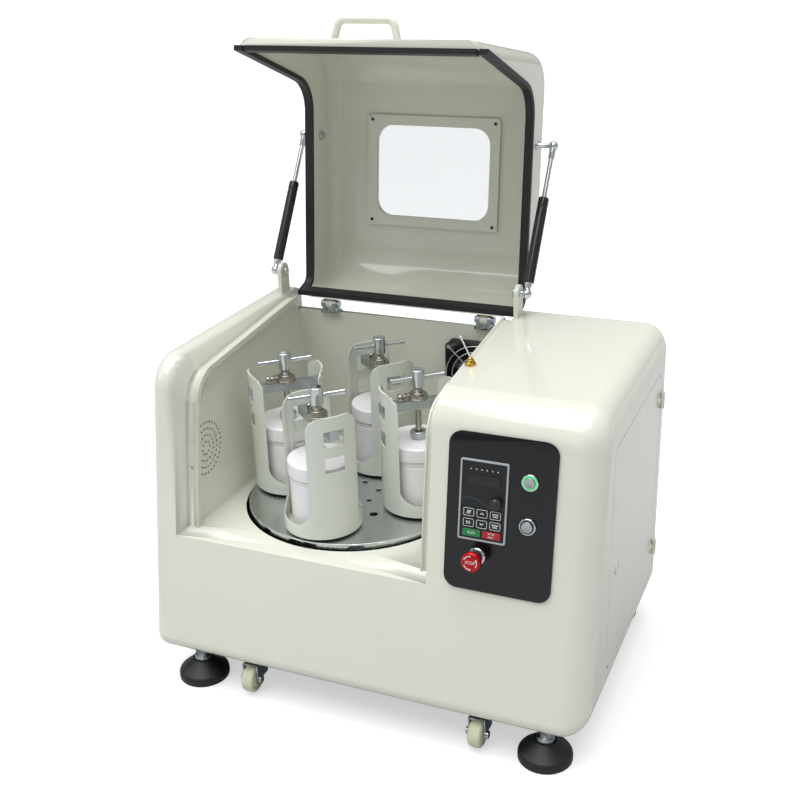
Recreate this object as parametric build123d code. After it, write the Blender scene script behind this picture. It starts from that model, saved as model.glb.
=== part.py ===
"""Planetary ball mill: a floor-standing mill with four clamped jars on a turning disc.

Millimetres, +Z up, front towards -Y. Every piece is first placed in machine
coordinates (floor at Z = 0, cabinet centred on X = 0 and Y = 0) and then moved so
that the origin lies on the floor under the middle of the whole machine.
The lid is built shut and turned open about its hinge pins.
"""
import os
from math import atan2, cos, degrees, hypot, pi, radians, sin, tan

from build123d import *

# Cabinet
CASE_W = 736.0
CASE_D = 508.0
CASE_BOTTOM = 60.0
CASE_TOP = 551.0
CASE_WALL = 4.0
FRAME_INSET = 36.0
FRONT_LEAN = 9.0
FRONT_TOP_R = 60.0
BACK_TOP_R = 25.0
FOOT_EDGE_R = 24.0
RIGHT_EDGE_R = 42.0
LEFT_EDGE_R = 22.0

# Grinding chamber, left of the control console
CHAMBER_X = -104.0
CHAMBER_HALF = 206.0
CHAMBER_BACK = 240.0
SILL_Z = 267.0
LEDGE_HALF = 218.0
RIM_BACK = (222.0, 508.0)
RIM_HIGH_Y = 203.0
RIM_HIGH_Z = 545.0
RIM_SLOPE = 5.0
RIM_FRONT_Y = -146.0
RIM_BACK_R = 18.0
RIM_FRONT_R = 55.0
LIP_WIDTH = 3.0
LIP_SHELF = 7.0
LIP_HEIGHT = 4.0
LIP_DEPTH = 5.0

# Lid, measured shut
LID_OPEN = 101.5
HINGE_Y = 240.0
HINGE_Z = 524.0
LID_HALF = 208.5
LID_WALL = 4.0
LID_BACK_TOP = (205.0, 644.0)
LID_FRONT_TOP = (-217.0, 607.0)
LID_FRONT_LOW = (-206.0, 268.0)
LID_BACK_R = 80.0
LID_FRONT_R = 60.0
LID_SIDE_R = 26.0
SEAL_HEIGHT = 8.0
SEAL_INNER = 200.0
SEAL_OUTER = 214.0
SEAL_GAP = 0.6
SEAL_LIFT = 6.5
WINDOW_W = 220.0
WINDOW_L = 165.0
WINDOW_Y = -6.0
WINDOW_R = 30.0
WINDOW_FRAME_MARGIN = 18.0
WINDOW_FRAME_T = 2.5
WINDOW_PANE_T = 3.0
HANDLE_W = 108.0
HANDLE_R = 6.0
HANDLE_REACH = 30.0
HANDLE_Z = 302.0

# Hinges
HINGE_SPREAD = 150.0
HINGE_PIN_R = 4.0
HINGE_EAR_T = 6.0
HINGE_LUG_W = 14.0
HINGE_LUG_R = 9.0
HINGE_LUG_T = 7.0
HINGE_LUG_L = 28.0
HINGE_BASE_FRONT = 7.5
HINGE_BASE_BACK = 13.0
HINGE_BASE_T = 4.0
RUNNING_GAP = 0.05
SIDE_GAP = 0.4

# Gas springs
SPRING_HALF = 238.0
SPRING_LOW = (200.0, 592.0)
SPRING_HIGH = (342.0, 812.0)
SPRING_BALL_R = 6.5
SPRING_EYE_R = 8.5
SPRING_BODY_R = 9.0
SPRING_ROD_R = 4.0
SPRING_BODY_L = 150.0
BRACKET_INNER = 220.0
BRACKET_T = 7.0
BRACKET_W = 30.0

# Turning disc and jar stations
DISC_R = 180.0
DISC_GAP = 6.0
DISC_TOP = 276.0
DISC_T = 10.0
STATION_PITCH_R = 120.0
STATION_COUNT = 4
POT_R = 63.0
POT_WALL = 3.0
POT_BOTTOM = 280.0
POT_TOP = 488.0
POT_FLOOR_T = 6.0
POT_RIM_Z = 302.0
POT_ARM_W = 84.0
POT_ARM_R = 26.0
POT_SLOT_W = 34.0
POT_SLOT_H = 26.0
POT_SLOT_LOW_Z = 408.0
BAR_Z = 452.0
BAR_H = 16.0
BAR_W = 16.0
BAR_TURN = (-40.0, 40.0, -40.0, 40.0)
POT_BASE_R = 56.0
STATION_GAP = 0.5

# Jars
JAR_R = 50.0
JAR_WALL = 7.0
JAR_TOP = 386.0
JAR_LID_R = 53.0
JAR_LID_T = 24.0
JAR_SEAL_T = 1.5
BALL_R = 7.0

# Clamp screws
SCREW_R = 7.0
SCREW_FOOT_R = 14.0
SCREW_FOOT_T = 12.0
SCREW_TOP = 516.0
HUB_R = 9.5
HUB_H = 26.0
HANDLE_BAR_R = 3.5
HANDLE_BAR_L = 92.0
HANDLE_BAR_TURN = 42.0
NUT_R = 15.0
NUT_H = 18.0
LATCH_L = 22.0

# Drive under the floor
DECK_Z = 150.0
DECK_T = 6.0
MAIN_SHAFT_R = 20.0
SUN_PULLEY_R = 60.0
PLANET_PULLEY_R = 30.0
BELT_T = 4.0
BELT_STEP = 15.0
BELT_H = 11.0
BELT_GAP = 0.3
PLANET_SHAFT_R = 10.0
BIG_PULLEY_R = 105.0
MOTOR_X = 236.0
MOTOR_R = 72.0
MOTOR_PULLEY_R = 35.0
DRIVE_PULLEY_Z = 118.0
DRIVE_PULLEY_H = 20.0

# Control panel
PANEL_W = 162.0
PANEL_H = 238.0
PANEL_T = 3.0
PANEL_R = 20.0
PANEL_X = 223.0
PANEL_Z = 391.0
KEYPAD_W = 72.0
KEYPAD_H = 121.0
KEYPAD_T = 4.0
KEYPAD_AT = (-25.0, 20.0)
BUTTON_U = 42.0
BUTTON_V = (58.0, -7.0)
BUTTON_BEZEL_R = 12.5
BUTTON_CAP_R = 8.0
BUTTON_TRAVEL = 2.5
STOP_AT = (-31.0, -65.0)
STOP_HEAD_R = 15.0
STOP_TRAVEL = 4.0
KNOB_AT = (-5.0, 20.0)
KNOB_R = 8.5

# Feet and castors
FOOT_AT = (300.0, 214.0)
FOOT_R = 42.0
FOOT_STUD_R = 8.0
CASTOR_AT = (197.0, 205.0)
CASTOR_R = 23.0
CASTOR_W = 21.0
CASTOR_TRAIL = 23.0
CASTOR_AXLE_Z = 26.5

# Side door, lock, fan and lid switch
DOOR_Y = (-130.0, 190.0)
DOOR_Z = (112.0, 486.0)
DOOR_T = 4.0
DOOR_GAP = 1.5
DOOR_R = 22.0
LOCK_AT = (-90.0, 275.0)
LOCK_R = 11.0
FAN_X = 40.0
FAN_Z = 424.0
FAN_SIZE = 120.0
FAN_T = 24.0
SWITCH_AT = (121.0, -42.0)

STATIONS = range(STATION_COUNT)
SIDES = (("left", -1), ("right", 1))


def y_front(z):
    """Return Y of the leaning front face at height z."""
    return -CASE_D / 2 + (z - CASE_BOTTOM) * tan(radians(FRONT_LEAN))


def box(x0, x1, y0, y1, z0, z1):
    """Return an axis-aligned block between two corners."""
    return Pos((x0 + x1) / 2, (y0 + y1) / 2, (z0 + z1) / 2) * Box(x1 - x0, y1 - y0, z1 - z0)


def rod(x, y, z0, z1, r):
    """Return an upright cylinder."""
    return Pos(x, y, z0) * Cylinder(r, z1 - z0, align=(Align.CENTER, Align.CENTER, Align.MIN))


def ring(x, y, z0, z1, r, bore):
    """Return an upright ring."""
    return rod(x, y, z0, z1, r) - rod(x, y, z0 - 1, z1 + 1, bore)


def cross_rod(x0, x1, y, z, r):
    """Return a cylinder along X."""
    return Pos((x0 + x1) / 2, y, z) * Rot(0, 90, 0) * Cylinder(r, x1 - x0)


def strut(start, end, r):
    """Return a cylinder between two points."""
    line = Vector(*end) - Vector(*start)
    return Plane(origin=start, z_dir=line) * Cylinder(
        r, line.length, align=(Align.CENTER, Align.CENTER, Align.MIN))


def profile(points, radii):
    """Return a flat outline whose corners have the given radii."""
    face = make_face(Polyline(*points, close=True))
    for point, radius in zip(points, radii):
        if radius:
            face = fillet(face.vertices().sort_by_distance(Vector(*point))[0], radius)
    return face


def side_prism(face, x0, x1):
    """Extrude a (Y, Z) outline along X from x0 to x1."""
    return extrude(Plane.YZ.offset(x0) * face, x1 - x0)


def both_sides(face, inner, outer):
    """Extrude an outline at both sides of the chamber, as two solids."""
    left = side_prism(face, CHAMBER_X - outer, CHAMBER_X - inner)
    right = side_prism(face, CHAMBER_X + inner, CHAMBER_X + outer)
    return left + right


def group(pieces):
    """Keep several separate solids as one node."""
    return Compound(children=list(pieces))


# Chamber rim, shared by the cabinet, its lip, the lid and the lid seal
def rim_front_z():
    """Return the height where the rim's top run meets its front run."""
    return RIM_HIGH_Z - (RIM_HIGH_Y - RIM_FRONT_Y) * tan(radians(RIM_SLOPE))


def rim_front_y(z):
    """Return Y of the rim's front run, parallel to the front face."""
    return RIM_FRONT_Y - (rim_front_z() - z) * tan(radians(FRONT_LEAN))


def rim_face(grow=0.0):
    """Return the chamber's side outline under the rim, grown outwards by some distance."""
    low = CASE_BOTTOM
    points = [(RIM_BACK[0], low), RIM_BACK, (RIM_HIGH_Y, RIM_HIGH_Z),
              (RIM_FRONT_Y, rim_front_z()), (rim_front_y(low), low)]
    face = profile(points, (0, 0, RIM_BACK_R, RIM_FRONT_R, 0))
    return offset(face, amount=grow) if grow else face


def case_block(inset):
    """Return the cabinet's outer form, or its hollow when inset."""
    low, high, back = CASE_BOTTOM + inset, CASE_TOP - inset, CASE_D / 2 - inset
    lean = inset / cos(radians(FRONT_LEAN))
    points = [(y_front(low) + lean, low), (y_front(high) + lean, high), (back, high), (back, low)]
    radii = (FOOT_EDGE_R - inset, FRONT_TOP_R - inset, BACK_TOP_R - inset, FOOT_EDGE_R - inset)
    half = CASE_W / 2 - inset
    block = side_prism(profile(points, radii), -half, half)
    block = fillet(block.faces().sort_by(Axis.X)[-1].edges(), RIGHT_EDGE_R - inset - 1)
    return fillet(block.faces().sort_by(Axis.X)[0].edges(), LEFT_EDGE_R - inset - 1)


def chamber_space(wall):
    """Return the space that the chamber and the lid's ledge take, grown by a wall."""
    x0, x1 = CHAMBER_X - LEDGE_HALF - wall, CHAMBER_X + LEDGE_HALF + wall
    ledge = box(x0, x1, -CASE_D, RIM_BACK[0], SILL_Z - wall, CASE_TOP + 100)
    ledge -= side_prism(rim_face(-wall), x0 - 1, x1 + 1)
    ledge += box(x0, x1, RIM_BACK[0] - wall - 1, CASE_D, RIM_BACK[1] - wall, CASE_TOP + 100)
    half = CHAMBER_HALF + wall
    room = box(CHAMBER_X - half, CHAMBER_X + half, -CASE_D, CHAMBER_BACK + wall,
               SILL_Z - wall, CASE_TOP + 100)
    return ledge + room


def grille_holes():
    """Return the ringed air holes in the chamber's left wall."""
    holes = []
    for turn in (1, 2, 3, 4):
        for step in range(8 * turn):
            angle = 2 * pi * step / (8 * turn)
            y = -128 + 11 * turn * cos(angle)
            z = 383 + 11 * turn * sin(angle)
            x = CHAMBER_X - CHAMBER_HALF
            holes.append(cross_rod(x - CASE_WALL - 1, x + 1, y, z, 2.6))
    return holes


def door_face(gap):
    """Return the side door's outline, smaller by a gap."""
    y0, y1 = DOOR_Y[0] + gap, DOOR_Y[1] - gap
    z0, z1 = DOOR_Z[0] + gap, DOOR_Z[1] - gap
    return profile([(y0, z0), (y1, z0), (y1, z1), (y0, z1)], [DOOR_R] * 4)


def case_shell():
    """Cabinet moulding with the chamber, disc hole, air holes and door opening."""
    hollow = case_block(CASE_WALL) - chamber_space(CASE_WALL)
    shell = case_block(0) - hollow - chamber_space(0)
    shell -= rod(CHAMBER_X, 0, SILL_Z - CASE_WALL - 1, SILL_Z + 1, DISC_R + DISC_GAP)
    shell -= side_prism(door_face(0), CASE_W / 2 - CASE_WALL - 1, CASE_W / 2 + 1)
    half_x, half_y = CASE_W / 2 - FRAME_INSET, CASE_D / 2 - FRAME_INSET
    shell -= box(-half_x, half_x, -half_y, half_y, CASE_BOTTOM - 1, CASE_BOTTOM + CASE_WALL + 1)
    return shell - grille_holes()


def lip_inner():
    """Return how far the lip's inner face stands from the chamber's middle."""
    return CHAMBER_HALF - LIP_SHELF - LIP_WIDTH


def chamber_lip():
    """Narrow upstand that the lid seal closes around, on both chamber walls."""
    shelf = rim_face() - rim_face(-LIP_DEPTH)
    stand = rim_face(LIP_HEIGHT) - rim_face(-LIP_DEPTH)
    strips = both_sides(stand, lip_inner(), lip_inner() + LIP_WIDTH)
    strips += both_sides(shelf, lip_inner() + LIP_WIDTH, CHAMBER_HALF)
    keep = box(-CASE_W, CASE_W, -CASE_D, RIM_HIGH_Y, SILL_Z, CASE_TOP + 50)
    back_end = RIM_BACK[1] + SEAL_LIFT + SEAL_OUTER - SEAL_INNER + 5
    keep += box(-CASE_W, CASE_W, RIM_HIGH_Y - 1, CASE_D, back_end, CASE_TOP + 50)
    return strips & keep


# Lid pieces, built shut
def opened(shape):
    """Turn a lid piece from shut to open about the hinge pins."""
    return shape.rotate(Axis((0, HINGE_Y, HINGE_Z), (1, 0, 0)), -LID_OPEN)


def opened_point(y, z):
    """Return where a shut lid point lies when the lid is open."""
    turn = radians(-LID_OPEN)
    dy, dz = y - HINGE_Y, z - HINGE_Z
    return HINGE_Y + dy * cos(turn) - dz * sin(turn), HINGE_Z + dy * sin(turn) + dz * cos(turn)


def lid_back_low():
    """Return the lower back corner of the shut lid's outline."""
    return RIM_BACK[0] + SEAL_GAP + SEAL_HEIGHT, RIM_BACK[1]


def lid_back_z(y):
    """Return the height of the open lid's back wall above a place behind the chamber."""
    y0, z0 = opened_point(*lid_back_low())
    y1, z1 = opened_point(*LID_BACK_TOP)
    return z0 + (y - y0) * (z1 - z0) / (y1 - y0)


def lid_block(inset):
    """Return the shut lid's outer form, or its hollow when inset."""
    points = [lid_back_low(), LID_BACK_TOP, LID_FRONT_TOP, LID_FRONT_LOW, (0, SILL_Z + 33)]
    face = profile(points, (0, LID_BACK_R, LID_FRONT_R, 0, 0))
    if inset:
        face = offset(face, amount=-inset)
    half = LID_HALF - inset
    block = side_prism(face, CHAMBER_X - half, CHAMBER_X + half)
    middle = (LID_BACK_TOP[1] + LID_FRONT_TOP[1]) / 2
    outer = [e for side in (0, -1) for e in block.faces().sort_by(Axis.X)[side].edges()
             if is_outer_lid_edge(e, middle)]
    return fillet(outer, LID_SIDE_R - inset)


def is_outer_lid_edge(edge, middle):
    """Tell the lid's rounded outer edges from those that the rim cut removes."""
    at = edge.position_at(0.5)
    front = at.Y < LID_FRONT_LOW[0] + 5
    back = at.Y > LID_BACK_TOP[0] - LID_BACK_R and at.Z > RIM_BACK[1] + 20
    return front or back or at.Z > middle - LID_FRONT_R


def lid_shell():
    """Lid hood with its window opening."""
    hood = lid_block(0) - lid_block(LID_WALL)
    below = side_prism(rim_face(SEAL_GAP + SEAL_HEIGHT), -CASE_W, CASE_W)
    hood -= below
    hood -= window_space(0, 60)
    return opened(hood)


def window_plane():
    """Return the plane of the lid's outer top face, centred on the window."""
    rise = (LID_BACK_TOP[1] - LID_FRONT_TOP[1]) / (LID_BACK_TOP[0] - LID_FRONT_TOP[0])
    z = LID_FRONT_TOP[1] + (WINDOW_Y - LID_FRONT_TOP[0]) * rise
    return Plane(origin=(CHAMBER_X, WINDOW_Y, z), x_dir=(1, 0, 0), z_dir=(0, -rise, 1))


def window_space(margin, depth):
    """Return a rounded block through the window opening."""
    outline = RectangleRounded(WINDOW_W + 2 * margin, WINDOW_L + 2 * margin, WINDOW_R)
    return window_plane() * extrude(outline, depth / 2, both=True)


def window_frame():
    """Clamp frame inside the lid, around the window."""
    outline = RectangleRounded(WINDOW_W + 2 * WINDOW_FRAME_MARGIN,
                               WINDOW_L + 2 * WINDOW_FRAME_MARGIN, 4)
    outline -= RectangleRounded(WINDOW_W, WINDOW_L, WINDOW_R)
    at = window_plane() * Pos(0, 0, -LID_WALL - WINDOW_PANE_T - WINDOW_FRAME_T)
    return opened(at * extrude(outline, WINDOW_FRAME_T))


def window_pane():
    """Clear pane between the lid and its clamp frame."""
    outline = RectangleRounded(WINDOW_W + WINDOW_FRAME_MARGIN, WINDOW_L + WINDOW_FRAME_MARGIN,
                               WINDOW_R)
    at = window_plane() * Pos(0, 0, -LID_WALL - WINDOW_PANE_T)
    return opened(at * extrude(outline, WINDOW_PANE_T))


def window_screws():
    """Four screw heads at the window frame's corners."""
    u = WINDOW_W / 2 + WINDOW_FRAME_MARGIN / 2
    v = WINDOW_L / 2 + WINDOW_FRAME_MARGIN / 2
    depth = -LID_WALL - WINDOW_PANE_T - WINDOW_FRAME_T
    at = window_plane() * Pos(0, 0, depth)
    head = Cylinder(2.6, 1.6, align=(Align.CENTER, Align.CENTER, Align.MAX))
    return group(opened(at * Pos(i * u, j * v, 0) * head) for i in (-1, 1) for j in (-1, 1))


def lid_seal():
    """Black rubber section around the lid's edge."""
    band = rim_face(SEAL_GAP + SEAL_HEIGHT) - rim_face(SEAL_GAP)
    sides = both_sides(band, SEAL_INNER, SEAL_OUTER)
    low = SILL_Z + SEAL_GAP
    across = side_prism(band, CHAMBER_X - SEAL_OUTER, CHAMBER_X + SEAL_OUTER)
    front = across & box(-CASE_W, CASE_W, -CASE_D, 0, low, low + SEAL_OUTER - SEAL_INNER)
    front -= both_sides(band, lip_inner() - SEAL_GAP, lip_inner() + LIP_WIDTH + SEAL_GAP)
    back_low = RIM_BACK[1] + SEAL_LIFT
    back_high = back_low + SEAL_OUTER - SEAL_INNER
    back = across & box(-CASE_W, CASE_W, RIM_HIGH_Y - 4, CASE_D, back_low, back_high)
    keep = box(-CASE_W, CASE_W, -CASE_D, RIM_HIGH_Y, low, CASE_TOP)
    keep += box(-CASE_W, CASE_W, RIM_HIGH_Y - 1, CASE_D, back_low, CASE_TOP)
    sides &= keep
    return opened(sides + front + back)


def lid_handle():
    """Arched pull handle on the lid's front, near its lower edge."""
    reach = HANDLE_REACH
    path = FilletPolyline((-HANDLE_W / 2, 0), (-HANDLE_W / 2 + 8, reach),
                          (HANDLE_W / 2 - 8, reach), (HANDLE_W / 2, 0), radius=14)
    run = (LID_FRONT_TOP[1] - HANDLE_Z) / (LID_FRONT_TOP[1] - LID_FRONT_LOW[1])
    y = LID_FRONT_TOP[0] + run * (LID_FRONT_LOW[0] - LID_FRONT_TOP[0])
    at = Plane(origin=(CHAMBER_X, y, HANDLE_Z), x_dir=(1, 0, 0), z_dir=(0, 0, 1))
    wire = at * mirror(path, about=Plane.XZ)
    bar = sweep(Plane(origin=wire @ 0, z_dir=wire % 0) * Circle(HANDLE_R), path=wire)
    trimmed = bar - box(-CASE_W, CASE_W, y - SIDE_GAP, CASE_D, 0, CASE_TOP)
    return opened(trimmed)


def hinge_x(side):
    """Return the X place of a lid hinge."""
    return CHAMBER_X + side * HINGE_SPREAD


def hinge_bracket(side):
    """Fixed hinge bracket with two ears, on the back ledge."""
    x = hinge_x(side)
    inner = HINGE_LUG_W / 2 + SIDE_GAP
    outer = inner + HINGE_EAR_T
    base = RIM_BACK[1]
    body = box(x - outer - 4, x + outer + 4, HINGE_Y - HINGE_BASE_FRONT, HINGE_Y + HINGE_BASE_BACK,
               base, base + HINGE_BASE_T)
    for hand in (-1, 1):
        near, far = sorted((x + hand * inner, x + hand * outer))
        body += box(near, far, HINGE_Y - HINGE_LUG_R, HINGE_Y + HINGE_LUG_R, base, HINGE_Z)
        body += cross_rod(near, far, HINGE_Y, HINGE_Z, HINGE_LUG_R)
    return body - cross_rod(x - outer - 1, x + outer + 1, HINGE_Y, HINGE_Z, HINGE_PIN_R)


def hinge_pin(side):
    """Hinge pin with a head at each end, held by the bracket."""
    x = hinge_x(side)
    outer = HINGE_LUG_W / 2 + SIDE_GAP + HINGE_EAR_T
    pin = cross_rod(x - outer, x + outer, HINGE_Y, HINGE_Z, HINGE_PIN_R)
    pin += cross_rod(x - outer - 4, x - outer, HINGE_Y, HINGE_Z, HINGE_PIN_R + 2.5)
    return pin + cross_rod(x + outer, x + outer + 5, HINGE_Y, HINGE_Z, HINGE_PIN_R + 3)


def hinge_lug(side):
    """Moving hinge lug that carries the lid, drawn with the lid open."""
    x = hinge_x(side)
    half = HINGE_LUG_W / 2
    end = HINGE_Y + HINGE_LUG_L
    top = lid_back_z(end) - SIDE_GAP
    lug = cross_rod(x - half, x + half, HINGE_Y, HINGE_Z, HINGE_LUG_R)
    lug += box(x - half, x + half, HINGE_Y, end, top - HINGE_LUG_T, top)
    lug += box(x - half, x + half, HINGE_Y, HINGE_Y + HINGE_LUG_R, HINGE_Z, top)
    bore = HINGE_PIN_R + RUNNING_GAP
    return lug - cross_rod(x - half - 1, x + half + 1, HINGE_Y, HINGE_Z, bore)


def spring_bracket(side):
    """Upright bracket on the cabinet that holds a gas spring's lower end."""
    y, z = SPRING_LOW
    near = CHAMBER_X + side * BRACKET_INNER
    far = near + side * BRACKET_T
    x0, x1 = sorted((near, far))
    half = BRACKET_W / 2
    plate = box(x0, x1, y - half, y + half, CASE_TOP, z) + cross_rod(x0, x1, y, z, half)
    return plate - cross_rod(x0 - 1, x1 + 1, y, z, 4)


def spring_bolt(side):
    """Ball stud through a bracket, with its head on the chamber side."""
    y, z = SPRING_LOW
    plate_x = CHAMBER_X + BRACKET_INNER
    face_x = plate_x + BRACKET_T
    ball_x = CHAMBER_X + SPRING_HALF
    bolt = cross_rod(plate_x - 5, plate_x, y, z, 7)
    bolt += cross_rod(plate_x, ball_x, y, z, 3.9)
    bolt += cross_rod(face_x, face_x + 2, y, z, 6)
    bolt += Pos(ball_x, y, z) * Sphere(SPRING_BALL_R - 1)
    if side > 0:
        return bolt
    return bolt.mirror(Plane(origin=(CHAMBER_X, 0, 0), z_dir=(1, 0, 0)))


def spring_angle():
    """Return the open gas spring's angle from +Y, in degrees."""
    return degrees(atan2(SPRING_HIGH[1] - SPRING_LOW[1], SPRING_HIGH[0] - SPRING_LOW[0]))


def spring_point(side, run):
    """Return a point along a gas spring, from its lower ball."""
    turn = radians(spring_angle())
    x = CHAMBER_X + side * SPRING_HALF
    return x, SPRING_LOW[0] + run * cos(turn), SPRING_LOW[1] + run * sin(turn)


def spring_cylinder(side):
    """Pressure tube of a gas spring with its lower ball socket."""
    low = spring_point(side, 0)
    tube = rod(0, 0, 19, 19 + SPRING_BODY_L, SPRING_BODY_R)
    tube += rod(0, 0, 0, 20, 4.5)
    tube += Sphere(SPRING_EYE_R)
    tube -= rod(0, 0, 30, 21 + SPRING_BODY_L, SPRING_ROD_R + RUNNING_GAP)
    tube -= Sphere(SPRING_BALL_R - 1 + RUNNING_GAP)
    placed = Plane(origin=low, z_dir=spring_direction()) * tube
    return placed - cross_rod(*sorted((low[0], low[0] - side * 20)), low[1], low[2], 4.4)


def spring_direction():
    """Return the open gas springs' direction."""
    turn = radians(spring_angle())
    return 0, cos(turn), sin(turn)


def spring_rod(side):
    """Polished rod of a gas spring with its upper end and stud."""
    length = hypot(SPRING_HIGH[0] - SPRING_LOW[0], SPRING_HIGH[1] - SPRING_LOW[1])
    high = spring_point(side, length)
    shaft = strut(spring_point(side, 80), spring_point(side, length - SPRING_EYE_R + 1),
                  SPRING_ROD_R)
    cuff = strut(spring_point(side, length - 22), spring_point(side, length - 6), 5.5)
    stud_x = CHAMBER_X + side * (LID_HALF + SIDE_GAP)
    stud = cross_rod(*sorted((stud_x, high[0])), high[1], high[2], 3.9)
    plate = cross_rod(*sorted((stud_x, stud_x + side * 4)), high[1], high[2], 8)
    return shaft + cuff + Pos(*high) * Sphere(SPRING_EYE_R) + stud + plate


def lid_stud_nuts():
    """Nuts inside the lid behind the gas springs' upper studs."""
    y, z = SPRING_HIGH
    inner = LID_HALF - LID_WALL
    nuts = []
    for _, side in SIDES:
        x = CHAMBER_X + side * inner
        nuts.append(cross_rod(*sorted((x, x - side * 2)), y, z, 8)
                    + cross_rod(*sorted((x, x - side * 8)), y, z, 5))
    return group(nuts)


# Turning disc and jar stations
def station(i):
    """Return the axis place of a jar station, from the front one round to the left."""
    angle = -pi / 2 + i * 2 * pi / STATION_COUNT
    return CHAMBER_X + STATION_PITCH_R * cos(angle), STATION_PITCH_R * sin(angle)


def turning_disc():
    """Steel disc that carries the stations, with its balance and bolt holes."""
    disc = rod(CHAMBER_X, 0, DISC_TOP - DISC_T, DISC_TOP, DISC_R)
    disc = chamfer(disc.edges().group_by(Axis.Z)[-1], 1)
    for i in STATIONS:
        x, y = station(i)
        disc -= rod(x, y, DISC_TOP - DISC_T - 1, DISC_TOP + 1, PLANET_SHAFT_R + 6)
    for i in range(6):
        angle = 2 * pi * (i + 0.5) / 6
        disc -= rod(CHAMBER_X + 40 * cos(angle), 40 * sin(angle), DISC_TOP - 4, DISC_TOP + 1, 5)
    for i in STATIONS:
        angle = pi / 4 + i * pi / 2
        disc -= rod(CHAMBER_X + 88 * cos(angle), 88 * sin(angle),
                    DISC_TOP - DISC_T - 1, DISC_TOP + 1, 7)
    return disc


def disc_bolts():
    """Bolts that fix the disc to its hub."""
    bolts = []
    for i in range(6):
        angle = 2 * pi * (i + 0.5) / 6
        x, y = CHAMBER_X + 40 * cos(angle), 40 * sin(angle)
        head = rod(x, y, DISC_TOP - 4, DISC_TOP, 4.6)
        bolts.append(head - Pos(x, y, DISC_TOP) * extrude(RegularPolygon(2.5, 6), -2.5))
    return group(bolts)


def main_shaft():
    """Hub and shaft that turn the disc, with the large drive pulley's seat."""
    hub_top = DISC_TOP - DISC_T
    shaft = rod(CHAMBER_X, 0, hub_top - 10, hub_top, 54)
    return shaft + rod(CHAMBER_X, 0, DRIVE_PULLEY_Z - 8, hub_top - 9, MAIN_SHAFT_R)


def planet_bearings():
    """Bearing housings under the disc, one for each station."""
    top = DISC_TOP - DISC_T
    housings = []
    for i in STATIONS:
        x, y = station(i)
        body = ring(x, y, top - 8, top, 26, PLANET_SHAFT_R + RUNNING_GAP)
        housings.append(body + ring(x, y, top - 0.5, top + 8, PLANET_SHAFT_R + 6,
                                    PLANET_SHAFT_R + RUNNING_GAP))
    return group(housings)


def level_z(i):
    """Return the height of a station's belt."""
    return DECK_Z + DECK_T + 32 + i * BELT_STEP


def planet_spindle(i):
    """Spindle, pulley and turning base of one station."""
    x, y = station(i)
    base = rod(x, y, DISC_TOP + STATION_GAP, POT_BOTTOM, POT_BASE_R)
    base += rod(x, y, level_z(i), DISC_TOP + 1, PLANET_SHAFT_R)
    return base + rod(x, y, level_z(i), level_z(i) + BELT_STEP - 2, PLANET_PULLEY_R)


def pot_gap():
    """Return the straight opening between a pot's two arms."""
    return 2 * (POT_R ** 2 - (POT_ARM_W / 2) ** 2) ** 0.5


def pot_openings():
    """Return the two open sides and the four slots to cut from a pot."""
    tall = POT_TOP - POT_RIM_Z + 2
    side = RectangleRounded(pot_gap(), 2 * tall, POT_ARM_R)
    cuts = Pos(0, 0, POT_RIM_Z + tall) * extrude(Plane.XZ * side, POT_R + 2, both=True)
    for z in (BAR_Z, POT_SLOT_LOW_Z):
        cuts += Pos(0, 0, z) * Box(2 * POT_R + 4, POT_SLOT_W, POT_SLOT_H)
    return cuts


def pot_arm_limits():
    """Return the space that keeps a pot's arms round at their top corners."""
    tall = POT_TOP - POT_RIM_Z + POT_ARM_R
    arm = Pos(0, POT_TOP - tall / 2) * RectangleRounded(POT_ARM_W, tall, POT_ARM_R)
    arms = extrude(Plane.YZ * arm, POT_R + 2, both=True)
    return arms + rod(0, 0, POT_BOTTOM - 1, POT_RIM_Z + POT_ARM_R, POT_R + 1)


def pot_carrier(i):
    """Open-sided holder of one jar, with slots for the clamp bar."""
    x, y = station(i)
    pot = rod(0, 0, POT_BOTTOM, POT_TOP, POT_R)
    pot = fillet(pot.edges().group_by(Axis.Z)[0], 3)
    pot -= rod(0, 0, POT_BOTTOM + POT_FLOOR_T, POT_TOP + 1, POT_R - POT_WALL)
    pot = (pot - pot_openings()) & pot_arm_limits()
    return Pos(x, y, 0) * Rot(0, 0, BAR_TURN[i]) * pot


def clamp_bar(i):
    """Steel cross bar held in a pot's upper slots."""
    x, y = station(i)
    length = 2 * POT_R + 2
    bar = Box(length, BAR_W, BAR_H)
    bar -= Cylinder(SCREW_R + 0.4, BAR_H + 2)
    bar = chamfer(bar.edges().filter_by(Axis.Y).filter_by(lambda e: abs(e.center().X) > 10), 2)
    low = POT_SLOT_H / 2 - BAR_H / 2
    return Pos(x, y, BAR_Z + low) * Rot(0, 0, BAR_TURN[i]) * bar


def clamp_nut(i):
    """Knurled nut ring on the bar and its spring latch."""
    x, y = station(i)
    top = BAR_Z + POT_SLOT_H / 2
    nut = ring(0, 0, top, top + NUT_H, NUT_R, SCREW_R + 0.4)
    latch = Pos(-NUT_R - LATCH_L / 2 + 2, 0, top + 8) * Rot(0, 90, 0) * Cylinder(3.2, LATCH_L)
    latch += Pos(-NUT_R - LATCH_L + 3, 0, top + 8) * Rot(0, 90, 0) * Cylinder(6.5, 6)
    latch += box(-NUT_R - LATCH_L + 7, -NUT_R + 2, -4.5, 4.5, top, top + 6)
    return Pos(x, y, 0) * Rot(0, 0, BAR_TURN[i]) * (nut + latch)


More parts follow.
